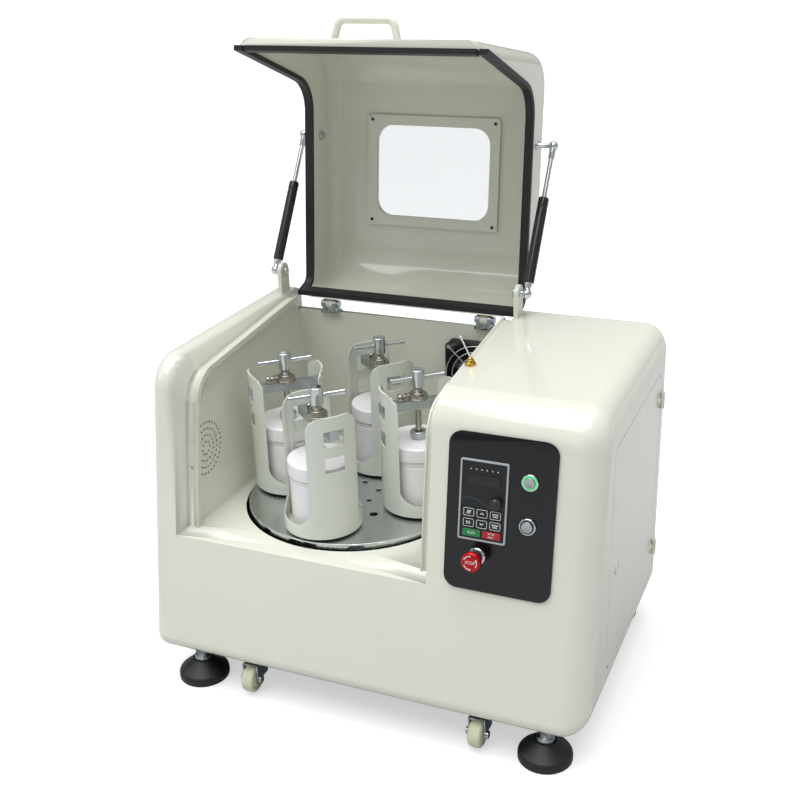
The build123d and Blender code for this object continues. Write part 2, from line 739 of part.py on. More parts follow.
def clamp_screw(i):
    """Clamp screw with its hub and cross handle."""
    x, y = station(i)
    low = JAR_TOP + JAR_LID_T / 2 + SCREW_FOOT_T - 5
    screw = rod(0, 0, low, SCREW_TOP - HUB_H + 1, SCREW_R)
    hub = rod(0, 0, SCREW_TOP - HUB_H, SCREW_TOP, HUB_R)
    hub = chamfer(hub.edges().group_by(Axis.Z)[-1], 1.2)
    bar = Pos(0, 0, SCREW_TOP - HUB_H / 2) * Rot(0, 90, 0) * Cylinder(HANDLE_BAR_R, HANDLE_BAR_L)
    bar = chamfer(bar.edges().filter_by(GeomType.CIRCLE), 1)
    return Pos(x, y, 0) * Rot(0, 0, HANDLE_BAR_TURN) * (screw + hub + bar)


def clamp_foot(i):
    """Swivel foot that the screw presses on the jar lid."""
    x, y = station(i)
    low = JAR_TOP + JAR_LID_T / 2 + 0.3
    foot = rod(x, y, low, low + SCREW_FOOT_T, SCREW_FOOT_R)
    foot = fillet(foot.edges().group_by(Axis.Z)[-1], 3)
    return foot - rod(x, y, low + SCREW_FOOT_T - 5.6, low + SCREW_FOOT_T + 1, SCREW_R + 0.1)


def jar(i):
    """Grinding jar standing on a pot's floor."""
    x, y = station(i)
    low = POT_BOTTOM + POT_FLOOR_T
    top = JAR_TOP - JAR_LID_T / 2 - JAR_SEAL_T
    body = fillet(rod(x, y, low, top, JAR_R).edges().group_by(Axis.Z)[0], 5)
    body -= rod(x, y, low + JAR_WALL, top + 1, JAR_R - JAR_WALL)
    groove = ring(x, y, top - 9, top - 6, JAR_R + 1, JAR_R - 1)
    return body - groove


def jar_seal(i):
    """Flat ring between a jar and its lid."""
    x, y = station(i)
    top = JAR_TOP - JAR_LID_T / 2
    return ring(x, y, top - JAR_SEAL_T, top, JAR_R - 0.5, JAR_R - JAR_WALL)


def jar_lid(i):
    """Jar lid with a rounded rim."""
    x, y = station(i)
    low = JAR_TOP - JAR_LID_T / 2
    lid = rod(x, y, low, low + JAR_LID_T, JAR_LID_R)
    return fillet(lid.edges().group_by(Axis.Z)[-1], 4)


def grinding_balls(i):
    """Balls resting on the jar's floor."""
    x, y = station(i)
    low = POT_BOTTOM + POT_FLOOR_T + JAR_WALL + BALL_R
    reach = 2.6 * BALL_R
    balls = [Pos(x, y, low) * Sphere(BALL_R)]
    for step in range(6):
        angle = step * pi / 3
        balls.append(Pos(x + reach * cos(angle), y + reach * sin(angle), low) * Sphere(BALL_R))
    return group(balls)


# Drive
def belt_loop(a, b, ra, rb, z0, height):
    """Return a flat belt around two pulleys."""
    def loop(grow):
        near = Pos(*a) * Circle(ra + grow)
        far = Pos(*b) * Circle(rb + grow)
        return make_hull(near.edges() + far.edges())
    outline = loop(BELT_GAP + BELT_T) - loop(BELT_GAP)
    return Pos(0, 0, z0) * extrude(outline, height)


def planet_belts():
    """Four belts from the fixed sun pulley to the stations' pulleys."""
    rise = (BELT_STEP - 2 - BELT_H) / 2
    return group(belt_loop((CHAMBER_X, 0), station(i), SUN_PULLEY_R, PLANET_PULLEY_R,
                           level_z(i) + rise, BELT_H) for i in STATIONS)


def sun_pulley():
    """Fixed pulley with four lands, around the main shaft."""
    low = level_z(0)
    high = level_z(STATION_COUNT - 1) + BELT_STEP - 2
    stack = ring(CHAMBER_X, 0, low, high, SUN_PULLEY_R, MAIN_SHAFT_R + 4)
    return stack + ring(CHAMBER_X, 0, DECK_Z + DECK_T + 24, low + 1, 40, MAIN_SHAFT_R + 4)


def bearing_housing():
    """Main bearing housing on the deck."""
    low = DECK_Z + DECK_T
    body = ring(CHAMBER_X, 0, low, low + 8, 70, MAIN_SHAFT_R + RUNNING_GAP)
    return body + ring(CHAMBER_X, 0, low + 7, low + 24, 44, MAIN_SHAFT_R + RUNNING_GAP)


def drive_pulley():
    """Large driven pulley on the main shaft."""
    low = DRIVE_PULLEY_Z
    wheel = ring(CHAMBER_X, 0, low, low + DRIVE_PULLEY_H, BIG_PULLEY_R, MAIN_SHAFT_R + RUNNING_GAP)
    for i in range(6):
        angle = i * pi / 3
        wheel -= rod(CHAMBER_X + 64 * cos(angle), 64 * sin(angle), low - 1,
                     low + DRIVE_PULLEY_H + 1, 20)
    return wheel


def drive_belt():
    """Belt from the motor pulley to the large pulley."""
    return belt_loop((CHAMBER_X, 0), (MOTOR_X, 0), BIG_PULLEY_R, MOTOR_PULLEY_R,
                     DRIVE_PULLEY_Z + 2, DRIVE_PULLEY_H - 4)


def motor():
    """Motor standing on the deck, with its flange, fins and junction box."""
    low = DECK_Z + DECK_T
    body = rod(MOTOR_X, 0, low, low + 12, MOTOR_R + 14)
    body += rod(MOTOR_X, 0, low + 11, low + 200, MOTOR_R)
    for i in range(24):
        fin = Pos(MOTOR_X, 0, low + 100) * Rot(0, 0, i * 15) * Pos(MOTOR_R + 2, 0, 0)
        body += fin * Box(8, 3, 150)
    body += box(MOTOR_X - 35, MOTOR_X + 35, -MOTOR_R - 34, -MOTOR_R + 6, low + 60, low + 130)
    return body - rod(MOTOR_X, 0, low - 1, low + 40, 12 + RUNNING_GAP)


def motor_pulley():
    """Motor shaft with its small pulley."""
    shaft = rod(MOTOR_X, 0, DRIVE_PULLEY_Z - 4, DECK_Z + DECK_T + 38, 12)
    low = DRIVE_PULLEY_Z
    return shaft + rod(MOTOR_X, 0, low, low + DRIVE_PULLEY_H, MOTOR_PULLEY_R)


def drive_deck():
    """Steel deck that carries the bearing and the motor."""
    half_x, half_y = CASE_W / 2 - 14, CASE_D / 2 - 60
    deck = box(-half_x, half_x, -half_y, half_y, DECK_Z, DECK_Z + DECK_T)
    deck -= rod(CHAMBER_X, 0, DECK_Z - 1, DECK_Z + DECK_T + 1, MAIN_SHAFT_R + 6)
    return deck - rod(MOTOR_X, 0, DECK_Z - 1, DECK_Z + DECK_T + 1, 20)


def base_frame():
    """Welded tube frame that carries the deck, the feet and the castors."""
    size = 36.0
    low = CASE_BOTTOM
    high = low + size
    half_x, half_y = CASE_W / 2 - FRAME_INSET, CASE_D / 2 - FRAME_INSET
    frame = box(-half_x, half_x, -half_y, half_y, low, high)
    frame -= box(-half_x + 90, half_x - 90, -half_y + 70, half_y - 70, low - 1, high + 1)
    for i in (-1, 1):
        for j in (-1, 1):
            x, y = i * (half_x - 40), j * (half_y - 62)
            frame += box(x - 14, x + 14, y - 14, y + 14, high - 1, DECK_Z)
    return frame


# Control panel
def panel_plane():
    """Return the plane of the leaning front face, centred on the control panel."""
    lean = radians(FRONT_LEAN)
    return Plane(origin=(PANEL_X, y_front(PANEL_Z), PANEL_Z), x_dir=(1, 0, 0),
                 z_dir=(0, -cos(lean), sin(lean)))


def on_panel(u, v, w=0.0):
    """Return a place on the control panel, w above the cabinet's face."""
    return panel_plane() * Pos(u, v, w)


def control_panel():
    """Black face plate that carries the controls."""
    return on_panel(0, 0) * extrude(RectangleRounded(PANEL_W, PANEL_H, PANEL_R), PANEL_T)


def keypad():
    """Drive keypad: frame, sunk face, display window and key pads."""
    u, v = KEYPAD_AT
    face = extrude(RectangleRounded(KEYPAD_W, KEYPAD_H, 3), KEYPAD_T)
    face -= Pos(0, 0, KEYPAD_T - 1) * extrude(RectangleRounded(KEYPAD_W - 6, KEYPAD_H - 6, 1), 2)
    return on_panel(u, v, PANEL_T) * face


def keypad_keys():
    """Six small keys, with a wide start key and a wide stop key below them."""
    u, v = KEYPAD_AT
    top = PANEL_T + KEYPAD_T - 1
    small = fillet(extrude(RectangleRounded(17, 13, 2.5), 1.6).edges().group_by(Axis.Z)[-1], 0.5)
    wide = fillet(extrude(RectangleRounded(27, 11, 2), 1.6).edges().group_by(Axis.Z)[-1], 0.5)
    keys = [on_panel(u + i * 20, v + j, top) * small for i in (-1, 0, 1) for j in (-18, -34)]
    keys += [on_panel(u + i * 15, v - 49, top) * wide for i in (-1, 1)]
    return group(keys)


def speed_knob():
    """Speed dial on the keypad."""
    top = PANEL_T + KEYPAD_T - 1
    knob = fillet(Cylinder(KNOB_R, 9, align=(Align.CENTER, Align.CENTER, Align.MIN))
                  .edges().group_by(Axis.Z)[-1], 1.5)
    return on_panel(*KNOB_AT, top + 0.3) * knob


def button_bezel(v):
    """Polished ring of a push button."""
    bezel = Cylinder(BUTTON_BEZEL_R, 4, align=(Align.CENTER, Align.CENTER, Align.MIN))
    bezel = fillet(bezel.edges().group_by(Axis.Z)[-1], 1.5)
    bezel -= Pos(0, 0, 0.5) * Cylinder(BUTTON_CAP_R + 0.3, 9,
                                       align=(Align.CENTER, Align.CENTER, Align.MIN))
    return on_panel(BUTTON_U, v, PANEL_T) * bezel


def button_cap(v):
    """Pressed cap of a push button."""
    low = 0.5 + BUTTON_TRAVEL + 0.3
    cap = Cylinder(BUTTON_CAP_R, 3, align=(Align.CENTER, Align.CENTER, Align.MIN))
    cap = fillet(cap.edges().group_by(Axis.Z)[-1], 0.8)
    return on_panel(BUTTON_U, v, PANEL_T + low) * cap


def stop_base():
    """Collar of the emergency stop."""
    collar = Cylinder(13, 3, align=(Align.CENTER, Align.CENTER, Align.MIN))
    collar += Cylinder(10, 14, align=(Align.CENTER, Align.CENTER, Align.MIN))
    collar -= Pos(0, 0, 1) * Cylinder(6.1, 20, align=(Align.CENTER, Align.CENTER, Align.MIN))
    return on_panel(*STOP_AT, PANEL_T) * collar


def stop_head():
    """Mushroom head of the emergency stop."""
    start = 14 + STOP_TRAVEL + 1
    head = Cylinder(STOP_HEAD_R, 11, align=(Align.CENTER, Align.CENTER, Align.MIN))
    head = fillet(head.edges().group_by(Axis.Z)[-1], 4)
    head = chamfer(head.edges().group_by(Axis.Z)[0], 3)
    stem = Pos(0, 0, -start + 7) * Cylinder(6, start - 6,
                                            align=(Align.CENTER, Align.CENTER, Align.MIN))
    return on_panel(*STOP_AT, PANEL_T + start) * (head + stem)


# Feet and castors
def corner_places(at):
    """Return the four corner places, front left first."""
    return [(i * at[0], j * at[1]) for j in (-1, 1) for i in (-1, 1)]


def foot_pads():
    """Four domed rubber feet."""
    points = [(0, 0), (FOOT_R, 0), (FOOT_R, 13), (17, 34), (0, 34)]
    outline = profile(points, (0, 2, 9, 3, 0))
    pad = revolve(Plane.XZ * outline, Axis.Z)
    return group(Pos(x, y, 0) * pad for x, y in corner_places(FOOT_AT))


def foot_studs():
    """Threaded studs and lock nuts of the feet."""
    studs = []
    for x, y in corner_places(FOOT_AT):
        nut = Pos(x, y, CASE_BOTTOM - 10) * extrude(RegularPolygon(13, 6), 10)
        collar = rod(x, y, 34, 39, 14)
        studs.append(nut + collar + rod(x, y, 34, CASE_BOTTOM, FOOT_STUD_R))
    return group(studs)


def castor_fork(x, y):
    """Swivel plate, ball race and fork of one castor."""
    sign = 1 if y > 0 else -1
    wheel_y = y + sign * CASTOR_TRAIL
    top = CASE_BOTTOM - 4.4
    half = CASTOR_W / 2 + 1
    fork = rod(x, y, top - 3, top, 15)
    fork += box(x - half - 2.5, x + half + 2.5, *sorted((y - sign * 12, wheel_y + sign * 4)),
                top - 5, top - 2.5)
    for hand in (-1, 1):
        x0, x1 = sorted((x + hand * half, x + hand * (half + 2.5)))
        ear = box(x0, x1, *sorted((y - sign * 4, wheel_y + sign * 6)), CASTOR_AXLE_Z, top - 2.5)
        fork += ear + cross_rod(x0, x1, wheel_y, CASTOR_AXLE_Z, 9)
    hole = cross_rod(x - half - 3, x + half + 3, wheel_y, CASTOR_AXLE_Z, 4)
    return fork - hole


def castor_plates():
    """Fixed top plates of the castors with their king pins."""
    plates = []
    for x, y in corner_places(CASTOR_AT):
        plates.append(box(x - 26, x + 26, y - 22, y + 22, CASE_BOTTOM - 4, CASE_BOTTOM))
    return group(plates)


def castor_axle(x, y):
    """Axle bolt of one castor."""
    sign = 1 if y > 0 else -1
    half = CASTOR_W / 2 + 1 + 2.5
    axle = cross_rod(x - half - 3, x + half + 3, y + sign * CASTOR_TRAIL, CASTOR_AXLE_Z, 4)
    for hand in (-1, 1):
        x0, x1 = sorted((x + hand * half, x + hand * (half + 4)))
        axle += cross_rod(x0, x1, y + sign * CASTOR_TRAIL, CASTOR_AXLE_Z, 6.5)
    return axle


def castor_wheel(x, y):
    """Nylon wheel of one castor."""
    sign = 1 if y > 0 else -1
    half = CASTOR_W / 2
    wheel_y = y + sign * CASTOR_TRAIL
    wheel = cross_rod(x - half, x + half, wheel_y, CASTOR_AXLE_Z, CASTOR_R)
    wheel = fillet(wheel.edges().filter_by(GeomType.CIRCLE), 5)
    return wheel - cross_rod(x - half - 1, x + half + 1, wheel_y, CASTOR_AXLE_Z, 4 + RUNNING_GAP)


# Door, lock, fan and lid switch
def side_door():
    """Flush service door in the cabinet's right side."""
    door = side_prism(door_face(DOOR_GAP), CASE_W / 2 - DOOR_T, CASE_W / 2)
    return door - cross_rod(CASE_W / 2 - DOOR_T - 1, CASE_W / 2 + 1, *LOCK_AT, LOCK_R - 3)


def door_lock_barrel():
    """Escutcheon of the door lock."""
    x = CASE_W / 2
    barrel = cross_rod(x, x + 2, *LOCK_AT, LOCK_R) + cross_rod(x - 22, x + 1, *LOCK_AT, LOCK_R - 3)
    return barrel - cross_rod(x - 8, x + 3, *LOCK_AT, 6)


def door_lock_plug():
    """Turning plug of the door lock with its cam."""
    x = CASE_W / 2
    plug = cross_rod(x - 7.7, x + 2, *LOCK_AT, 6 - RUNNING_GAP)
    return plug - box(x, x + 3, LOCK_AT[0] - 0.8, LOCK_AT[0] + 0.8, LOCK_AT[1] - 4, LOCK_AT[1] + 4)


def door_hinges():
    """Knuckles on the cabinet at the door's rear edge, with their pins."""
    x, y = CASE_W / 2 + 3.5, DOOR_Y[1]
    pieces = []
    for z in (DOOR_Z[0] + 50, DOOR_Z[1] - 50):
        leaf = box(CASE_W / 2, CASE_W / 2 + 1.5, y + 3.8, y + 20, z - 14, z + 14)
        knuckle = ring(x, y, z - 14, z - 5, 3.5, 1.5) + ring(x, y, z + 5, z + 14, 3.5, 1.5)
        link = box(x - 3.5, x - 1.5, y + 1.2, y + 4.2, z - 14, z - 5)
        link += box(x - 3.5, x - 1.5, y + 1.2, y + 4.2, z + 5, z + 14)
        pieces.append(leaf + knuckle + link + rod(x, y, z - 14, z + 14, 1.5))
    return group(pieces)


def door_knuckles():
    """Knuckles on the door that turn on the hinge pins."""
    x, y = CASE_W / 2 + 3.5, DOOR_Y[1]
    pieces = []
    for z in (DOOR_Z[0] + 50, DOOR_Z[1] - 50):
        leaf = box(CASE_W / 2, CASE_W / 2 + 1.5, y - 22, y - 2, z - 4.6, z + 4.6)
        knuckle = ring(x, y, z - 4.6, z + 4.6, 3.5, 1.5 + RUNNING_GAP)
        link = box(x - 3.5, x - 1.5, y - 4, y - 1.6, z - 4.6, z + 4.6)
        pieces.append(leaf + knuckle + link)
    return group(pieces)


def fan_frame():
    """Square fan housing on the chamber's back wall."""
    y1 = CHAMBER_BACK
    half = FAN_SIZE / 2
    frame = box(FAN_X - half, FAN_X + half, y1 - FAN_T, y1, FAN_Z - half, FAN_Z + half)
    frame = fillet(frame.edges().filter_by(Axis.Y), 8)
    throat = Pos(FAN_X, y1 - FAN_T / 2 - 1.5, FAN_Z) * Rot(90, 0, 0) * Cylinder(half - 4, FAN_T)
    frame -= throat
    hub = Pos(FAN_X, y1 - 1.5, FAN_Z) * Rot(90, 0, 0) * Cylinder(19, 3)
    return frame + hub


def fan_rotor():
    """Fan hub with its blades."""
    y1 = CHAMBER_BACK
    at = Pos(FAN_X, y1 - 12, FAN_Z) * Rot(90, 0, 0)
    rotor = at * Cylinder(20, 17)
    for i in range(7):
        blade = at * Rot(0, 0, i * 360 / 7) * Pos(34, 0, 0) * Rot(35, 0, 0)
        rotor += blade * Box(34, 20, 1.6)
    return rotor


def fan_guard():
    """Wire finger guard over the fan."""
    y = CHAMBER_BACK - FAN_T - 1.4
    at = Pos(FAN_X, y, FAN_Z) * Rot(90, 0, 0)
    guard = None
    for i in range(5):
        hoop = at * Torus(14 + 11 * i, 1.1)
        guard = hoop if guard is None else guard + hoop
    for i in range(4):
        spoke = at * Rot(0, 0, 45 + i * 90) * Pos(44, 0, 0) * Rot(0, 90, 0) * Cylinder(1.2, 64)
        tab = at * Rot(0, 0, 45 + i * 90) * Pos(74, 0, -0.2) * Cylinder(4, 2.4)
        guard += spoke + tab
    return guard


def lid_switch_gland():
    """Brass gland on the console beside the chamber."""
    x, y = SWITCH_AT
    z = CASE_TOP
    nut = Pos(x, y, z) * extrude(RegularPolygon(9, 6), 5)
    return nut + rod(x, y, z + 4, z + 9, 6) + Pos(x, y, z + 9) * Sphere(4.5)


def lid_switch_wand():
    """Spring wand of the lid switch."""
    x, y = SWITCH_AT
    low = Vector(x, y, CASE_TOP + 13)
    tip = low + Vector(-9, -16, 36)
    wand = strut(low, tip, 1.2)
    return wand + Pos(*tip) * Sphere(3) + Pos(*low) * Sphere(2.4)


def station_nodes():
    """Return the nodes of the four jar stations."""
    nodes = {}
    for i in STATIONS:
        number = i + 1
        nodes[f"pot_carrier_{number}"] = group(
            [pot_carrier(i), planet_spindle(i), clamp_bar(i), clamp_nut(i)])
        nodes[f"jar_{number}"] = group([jar(i), jar_seal(i), jar_lid(i), grinding_balls(i)])
        nodes[f"clamp_screw_{number}"] = clamp_screw(i)
        nodes[f"clamp_foot_{number}"] = clamp_foot(i)
    return nodes


def castor_nodes():
    """Return the swivelling front forks, the fixed rear forks and the four wheels."""
    places = corner_places(CASTOR_AT)
    forks = [group([castor_fork(x, y), castor_axle(x, y)]) for x, y in places]
    nodes = {"castor_plates": castor_plates(), "castor_fork_left": forks[0],
             "castor_fork_right": forks[1], "castor_forks_rear": group(forks[2:])}
    for number, place in enumerate(places, 1):
        nodes[f"castor_wheel_{number}"] = castor_wheel(*place)
    return nodes


def lid_nodes():
    """Return the lid's nodes and what carries it."""
    brackets = [make(side) for _, side in SIDES
                for make in (hinge_bracket, hinge_pin, spring_bracket, spring_bolt)]
    nodes = {
        "lid_shell": lid_shell(), "lid_seal": lid_seal(), "lid_handle": lid_handle(),
        "window_pane": window_pane(), "window_frame": group([window_frame(), window_screws()]),
        "hinge_lugs": group([hinge_lug(-1), hinge_lug(1), lid_stud_nuts()]),
        "lid_brackets": group(brackets),
    }
    for name, side in SIDES:
        nodes[f"spring_cylinder_{name}"] = spring_cylinder(side)
        nodes[f"spring_rod_{name}"] = spring_rod(side)
    return nodes


def panel_nodes():
    """Return the control panel's nodes."""
    high, low = BUTTON_V
    return {
        "control_panel": control_panel(), "keypad": group([keypad(), keypad_keys()]),
        "speed_knob": speed_knob(),
        "button_bezels": group([button_bezel(high), button_bezel(low)]),
        "button_cap_upper": button_cap(high), "button_cap_lower": button_cap(low),
        "stop_base": stop_base(), "stop_head": stop_head(),
    }


def drive_nodes():
    """Return the drive's nodes, from the frame up to the disc."""
    return {
        "base_frame": base_frame(), "drive_deck": drive_deck(),
        "bearing_housing": group([bearing_housing(), sun_pulley()]), "motor": motor(),
        "motor_pulley": motor_pulley(), "drive_belt": drive_belt(),
        "main_shaft": group([main_shaft(), drive_pulley()]),
        "turning_disc": group([turning_disc(), disc_bolts(), planet_bearings()]),
        "planet_belts": planet_belts(),
    }


def cabinet_nodes():
    """Return the cabinet, its feet, door, fan and lid switch."""
    return {
        "case_shell": group([case_shell(), chamber_lip()]),
        "levelling_feet": group([foot_pads(), foot_studs()]),
        "side_door": group([side_door(), door_knuckles(), door_lock_barrel()]),
        "door_lock_plug": door_lock_plug(), "door_hinges": door_hinges(),
        "fan_frame": group([fan_frame(), fan_guard()]), "fan_rotor": fan_rotor(),
        "lid_switch": group([lid_switch_gland(), lid_switch_wand()]),
    }


def main():
    """Build every node, centre the machine over the origin and write the STEP files."""
    nodes = {**cabinet_nodes(), **drive_nodes(), **station_nodes(), **castor_nodes(),
             **lid_nodes(), **panel_nodes()}
    whole = Compound(children=[node.moved(Location()) for node in nodes.values()])
    bounds = whole.bounding_box()
    middle = bounds.center()
    shift = Pos(-middle.X, -middle.Y, -bounds.min.Z)
    os.makedirs("parts", exist_ok=True)
    for name, shape in nodes.items():
        export_step(shift * shape, f"parts/{name}.step")
    print("origin at", middle.X, middle.Y, bounds.min.Z)


if __name__ == "__main__":
    main()
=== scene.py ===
"""Floor-standing planetary ball mill with its lid open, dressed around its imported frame."""
import logging
from dataclasses import dataclass, field
from enum import Enum
from math import atan2, cos, hypot, pi, radians, sin
from typing import Callable, Iterable

import bpy
from mathutils import Matrix, Vector


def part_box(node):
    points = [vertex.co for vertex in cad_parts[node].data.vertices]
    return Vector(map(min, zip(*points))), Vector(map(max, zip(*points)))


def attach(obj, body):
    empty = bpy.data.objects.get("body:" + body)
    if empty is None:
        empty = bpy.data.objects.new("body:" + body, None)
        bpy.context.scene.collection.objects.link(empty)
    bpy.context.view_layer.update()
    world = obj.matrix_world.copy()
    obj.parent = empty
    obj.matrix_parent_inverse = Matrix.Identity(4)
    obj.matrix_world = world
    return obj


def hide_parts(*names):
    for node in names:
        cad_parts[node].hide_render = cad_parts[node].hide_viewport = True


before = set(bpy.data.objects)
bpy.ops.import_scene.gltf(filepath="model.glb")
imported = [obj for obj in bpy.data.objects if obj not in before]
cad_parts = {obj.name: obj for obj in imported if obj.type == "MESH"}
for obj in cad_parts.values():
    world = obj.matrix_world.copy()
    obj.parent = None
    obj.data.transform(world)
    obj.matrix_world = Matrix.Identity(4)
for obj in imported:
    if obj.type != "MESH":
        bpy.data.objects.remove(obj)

log = logging.getLogger("planetary_ball_mill")
MM = 0.001
KNURLS = 30
MERGE = 0.000002
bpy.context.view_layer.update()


# Small helpers for modelling with the editor's own tools
def linear(hex_colour: str) -> tuple[float, float, float, float]:
    """Turn an sRGB hex colour into linear RGBA.

    Args:
        hex_colour: six hex digits.

    Returns:
        The linear colour with full alpha.
    """
    channels = [int(hex_colour[i:i + 2], 16) / 255 for i in (0, 2, 4)]
    low = [c / 12.92 if c <= 0.04045 else ((c + 0.055) / 1.055) ** 2.4 for c in channels]
    return (*low, 1.0)


def deselect() -> None:
    """Leave nothing selected, as every operator acts on what is selected."""
    if bpy.context.mode != "OBJECT":
        bpy.ops.object.mode_set(mode="OBJECT")
    bpy.ops.object.select_all(action="DESELECT")


def pick(piece: bpy.types.Object) -> bpy.types.Object:
    """Select one piece alone and make it active."""
    deselect()
    piece.select_set(True)
    bpy.context.view_layer.objects.active = piece
    return piece


def apply_place(piece: bpy.types.Object) -> None:
    """Move a piece's place, turn and scale into its mesh."""
    pick(piece)
    bpy.ops.object.transform_apply(location=True, rotation=True, scale=True)


def place(piece: bpy.types.Object, matrix: Matrix) -> bpy.types.Object:
    """Put a piece where a matrix says and settle that into its mesh."""
    piece.matrix_world = matrix @ piece.matrix_world
    apply_place(piece)
    return piece


def recalculate(piece: bpy.types.Object) -> None:
    """Merge a closed form's doubles and point its faces outwards."""
    pick(piece)
    bpy.ops.object.mode_set(mode="EDIT")
    bpy.ops.mesh.select_all(action="SELECT")
    bpy.ops.mesh.remove_doubles(threshold=MERGE)
    bpy.ops.mesh.normals_make_consistent(inside=False)
    bpy.ops.object.mode_set(mode="OBJECT")


def join(pieces: Iterable[bpy.types.Object]) -> bpy.types.Object:
    """Join pieces of one finish into the first of them."""
    pieces = list(pieces)
    deselect()
    for piece in pieces:
        piece.select_set(True)
    bpy.context.view_layer.objects.active = pieces[0]
    if len(pieces) > 1:
        bpy.ops.object.join()
    return pieces[0]


def bevelled(piece: bpy.types.Object, width: float, segments: int = 3,
             angle: float = 30.0) -> bpy.types.Object:
    """Round a piece's sharp edges with an applied bevel.

    Args:
        piece: the piece to round.
        width: bevel width in metres.
        segments: steps across the round.
        angle: smallest edge angle in degrees that is rounded.

    Returns:
        The same piece.
    """
    pick(piece)
    soft = piece.modifiers.new("round", "BEVEL")
    soft.width = width
    soft.segments = segments
    soft.limit_method = "ANGLE"
    soft.angle_limit = radians(angle)
    bpy.ops.object.modifier_apply(modifier=soft.name)
    return piece


def turned(steps: list[tuple[float, float]], sides: int = 64, bored: bool = False
           ) -> bpy.types.Object:
    """Model a turned form upwards from a disc, by extruding and resizing its end face.

    Args:
        steps: radius and height of each ring, in millimetres.
        sides: corners of each ring.
        bored: whether the last ring meets the first through a bore.

    Returns:
        The closed form, around the Z axis.
    """
    radius, height = steps[0]
    bpy.ops.mesh.primitive_circle_add(vertices=sides, radius=radius * MM, fill_type="NGON",
                                      location=(0, 0, height * MM))
    piece = pick(bpy.context.object)
    bpy.ops.object.mode_set(mode="EDIT")
    bpy.context.tool_settings.mesh_select_mode = (False, False, True)
    bpy.ops.mesh.select_all(action="SELECT")
    for next_radius, next_height in steps[1:]:
        rise = (0, 0, (next_height - height) * MM)
        bpy.ops.mesh.extrude_region_move(TRANSFORM_OT_translate={"value": rise})
        factor = next_radius / radius
        bpy.ops.transform.resize(value=(factor, factor, 1),
                                 center_override=(0, 0, next_height * MM))
        radius, height = next_radius, next_height
    if bored:
        bpy.ops.mesh.delete(type="FACE")
        bpy.ops.object.mode_set(mode="OBJECT")
        largest = max(piece.data.polygons, key=lambda face: len(face.vertices))
        largest.select = True
        bpy.ops.object.mode_set(mode="EDIT")
        bpy.ops.mesh.delete(type="FACE")
        bpy.context.tool_settings.mesh_select_mode = (False, True, False)
        bpy.ops.mesh.select_non_manifold(extend=False)
        bpy.ops.mesh.bridge_edge_loops()
    bpy.ops.object.mode_set(mode="OBJECT")
    recalculate(piece)
    return piece


def block(size: tuple[float, float, float], centre: tuple[float, float, float], round_mm: float,
          segments: int = 3) -> bpy.types.Object:
    """Model a block with rounded edges, in millimetres."""
    bpy.ops.mesh.primitive_cube_add(size=1, location=Vector(centre) * MM)
    piece = pick(bpy.context.object)
    piece.scale = Vector(size) * MM
    apply_place(piece)
    return bevelled(piece, round_mm * MM, segments) if round_mm else piece


def lettering(words: str, height_mm: float, thick_mm: float) -> bpy.types.Object:
    """Model flat lettering centred on the origin, as a mesh."""
    deselect()
    bpy.ops.object.text_add()
    text = bpy.context.object
    text.data.body = words
    text.data.size = height_mm * MM
    text.data.align_x = "CENTER"
    text.data.align_y = "CENTER"
    text.data.extrude = thick_mm * MM / 2
    text.data.resolution_u = 4
    pick(text)
    bpy.ops.object.convert(target="MESH")
    piece = bpy.context.object
    recalculate(piece)
    return piece


def wire(points: list[tuple[float, float]], radius: float) -> bpy.types.Object:
    """Model a thin printed line through points in millimetres, as a mesh.

    Args:
        points: control points of the line, across and up.
        radius: half of its width.

    Returns:
        The line, lying on the ground plane.
    """
    curve = bpy.data.curves.new("printed_line", "CURVE")
    curve.dimensions = "3D"
    curve.bevel_depth = radius * MM
    curve.bevel_resolution = 1
    curve.use_fill_caps = True
    spline = curve.splines.new("NURBS")
    spline.points.add(len(points) - 1)
    for point, (u, v) in zip(spline.points, points):
        point.co = (u * MM, v * MM, 0, 1)
    spline.order_u = 3
    spline.use_endpoint_u = True
    line = bpy.data.objects.new("printed_line", curve)
    bpy.context.scene.collection.objects.link(line)
    pick(line)
    bpy.ops.object.convert(target="MESH")
    piece = bpy.context.object
    recalculate(piece)
    return piece


def knurled(piece: bpy.types.Object, above_mm: float, factor: float) -> bpy.types.Object:
    """Cut a knurl by drawing in every second corner of the rings beyond a radius."""
    for vertex in piece.data.vertices:
        angle = atan2(vertex.co.y, vertex.co.x) / (2 * pi)
        ring = hypot(vertex.co.x, vertex.co.y)
        if ring > above_mm * MM and round(angle * KNURLS * 2) % 2:
            vertex.co.x *= factor
            vertex.co.y *= factor
    return piece


def corner_mid(node: str) -> Vector:
    """Return the middle of a CAD node's box."""
    low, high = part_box(node)
    return (low + high) / 2


# The frame's own axes: the chamber's middle lies on the turning disc's axis
MID = Vector((*corner_mid("turning_disc").xy, 0))


# Finishes, each named for the real material and how its surface was made
class Marks(Enum):
    """How a finish's fine marks run."""
    EVEN = "even"
    ALONG_X = "along_x"
    ALONG_Y = "along_y"
    ALONG_Z = "along_z"
    RINGS = "rings"


STRETCH = {Marks.EVEN: (1, 1, 1), Marks.RINGS: (1, 1, 1), Marks.ALONG_X: (0.03, 1, 1),
           Marks.ALONG_Y: (1, 0.03, 1), Marks.ALONG_Z: (1, 1, 0.03)}


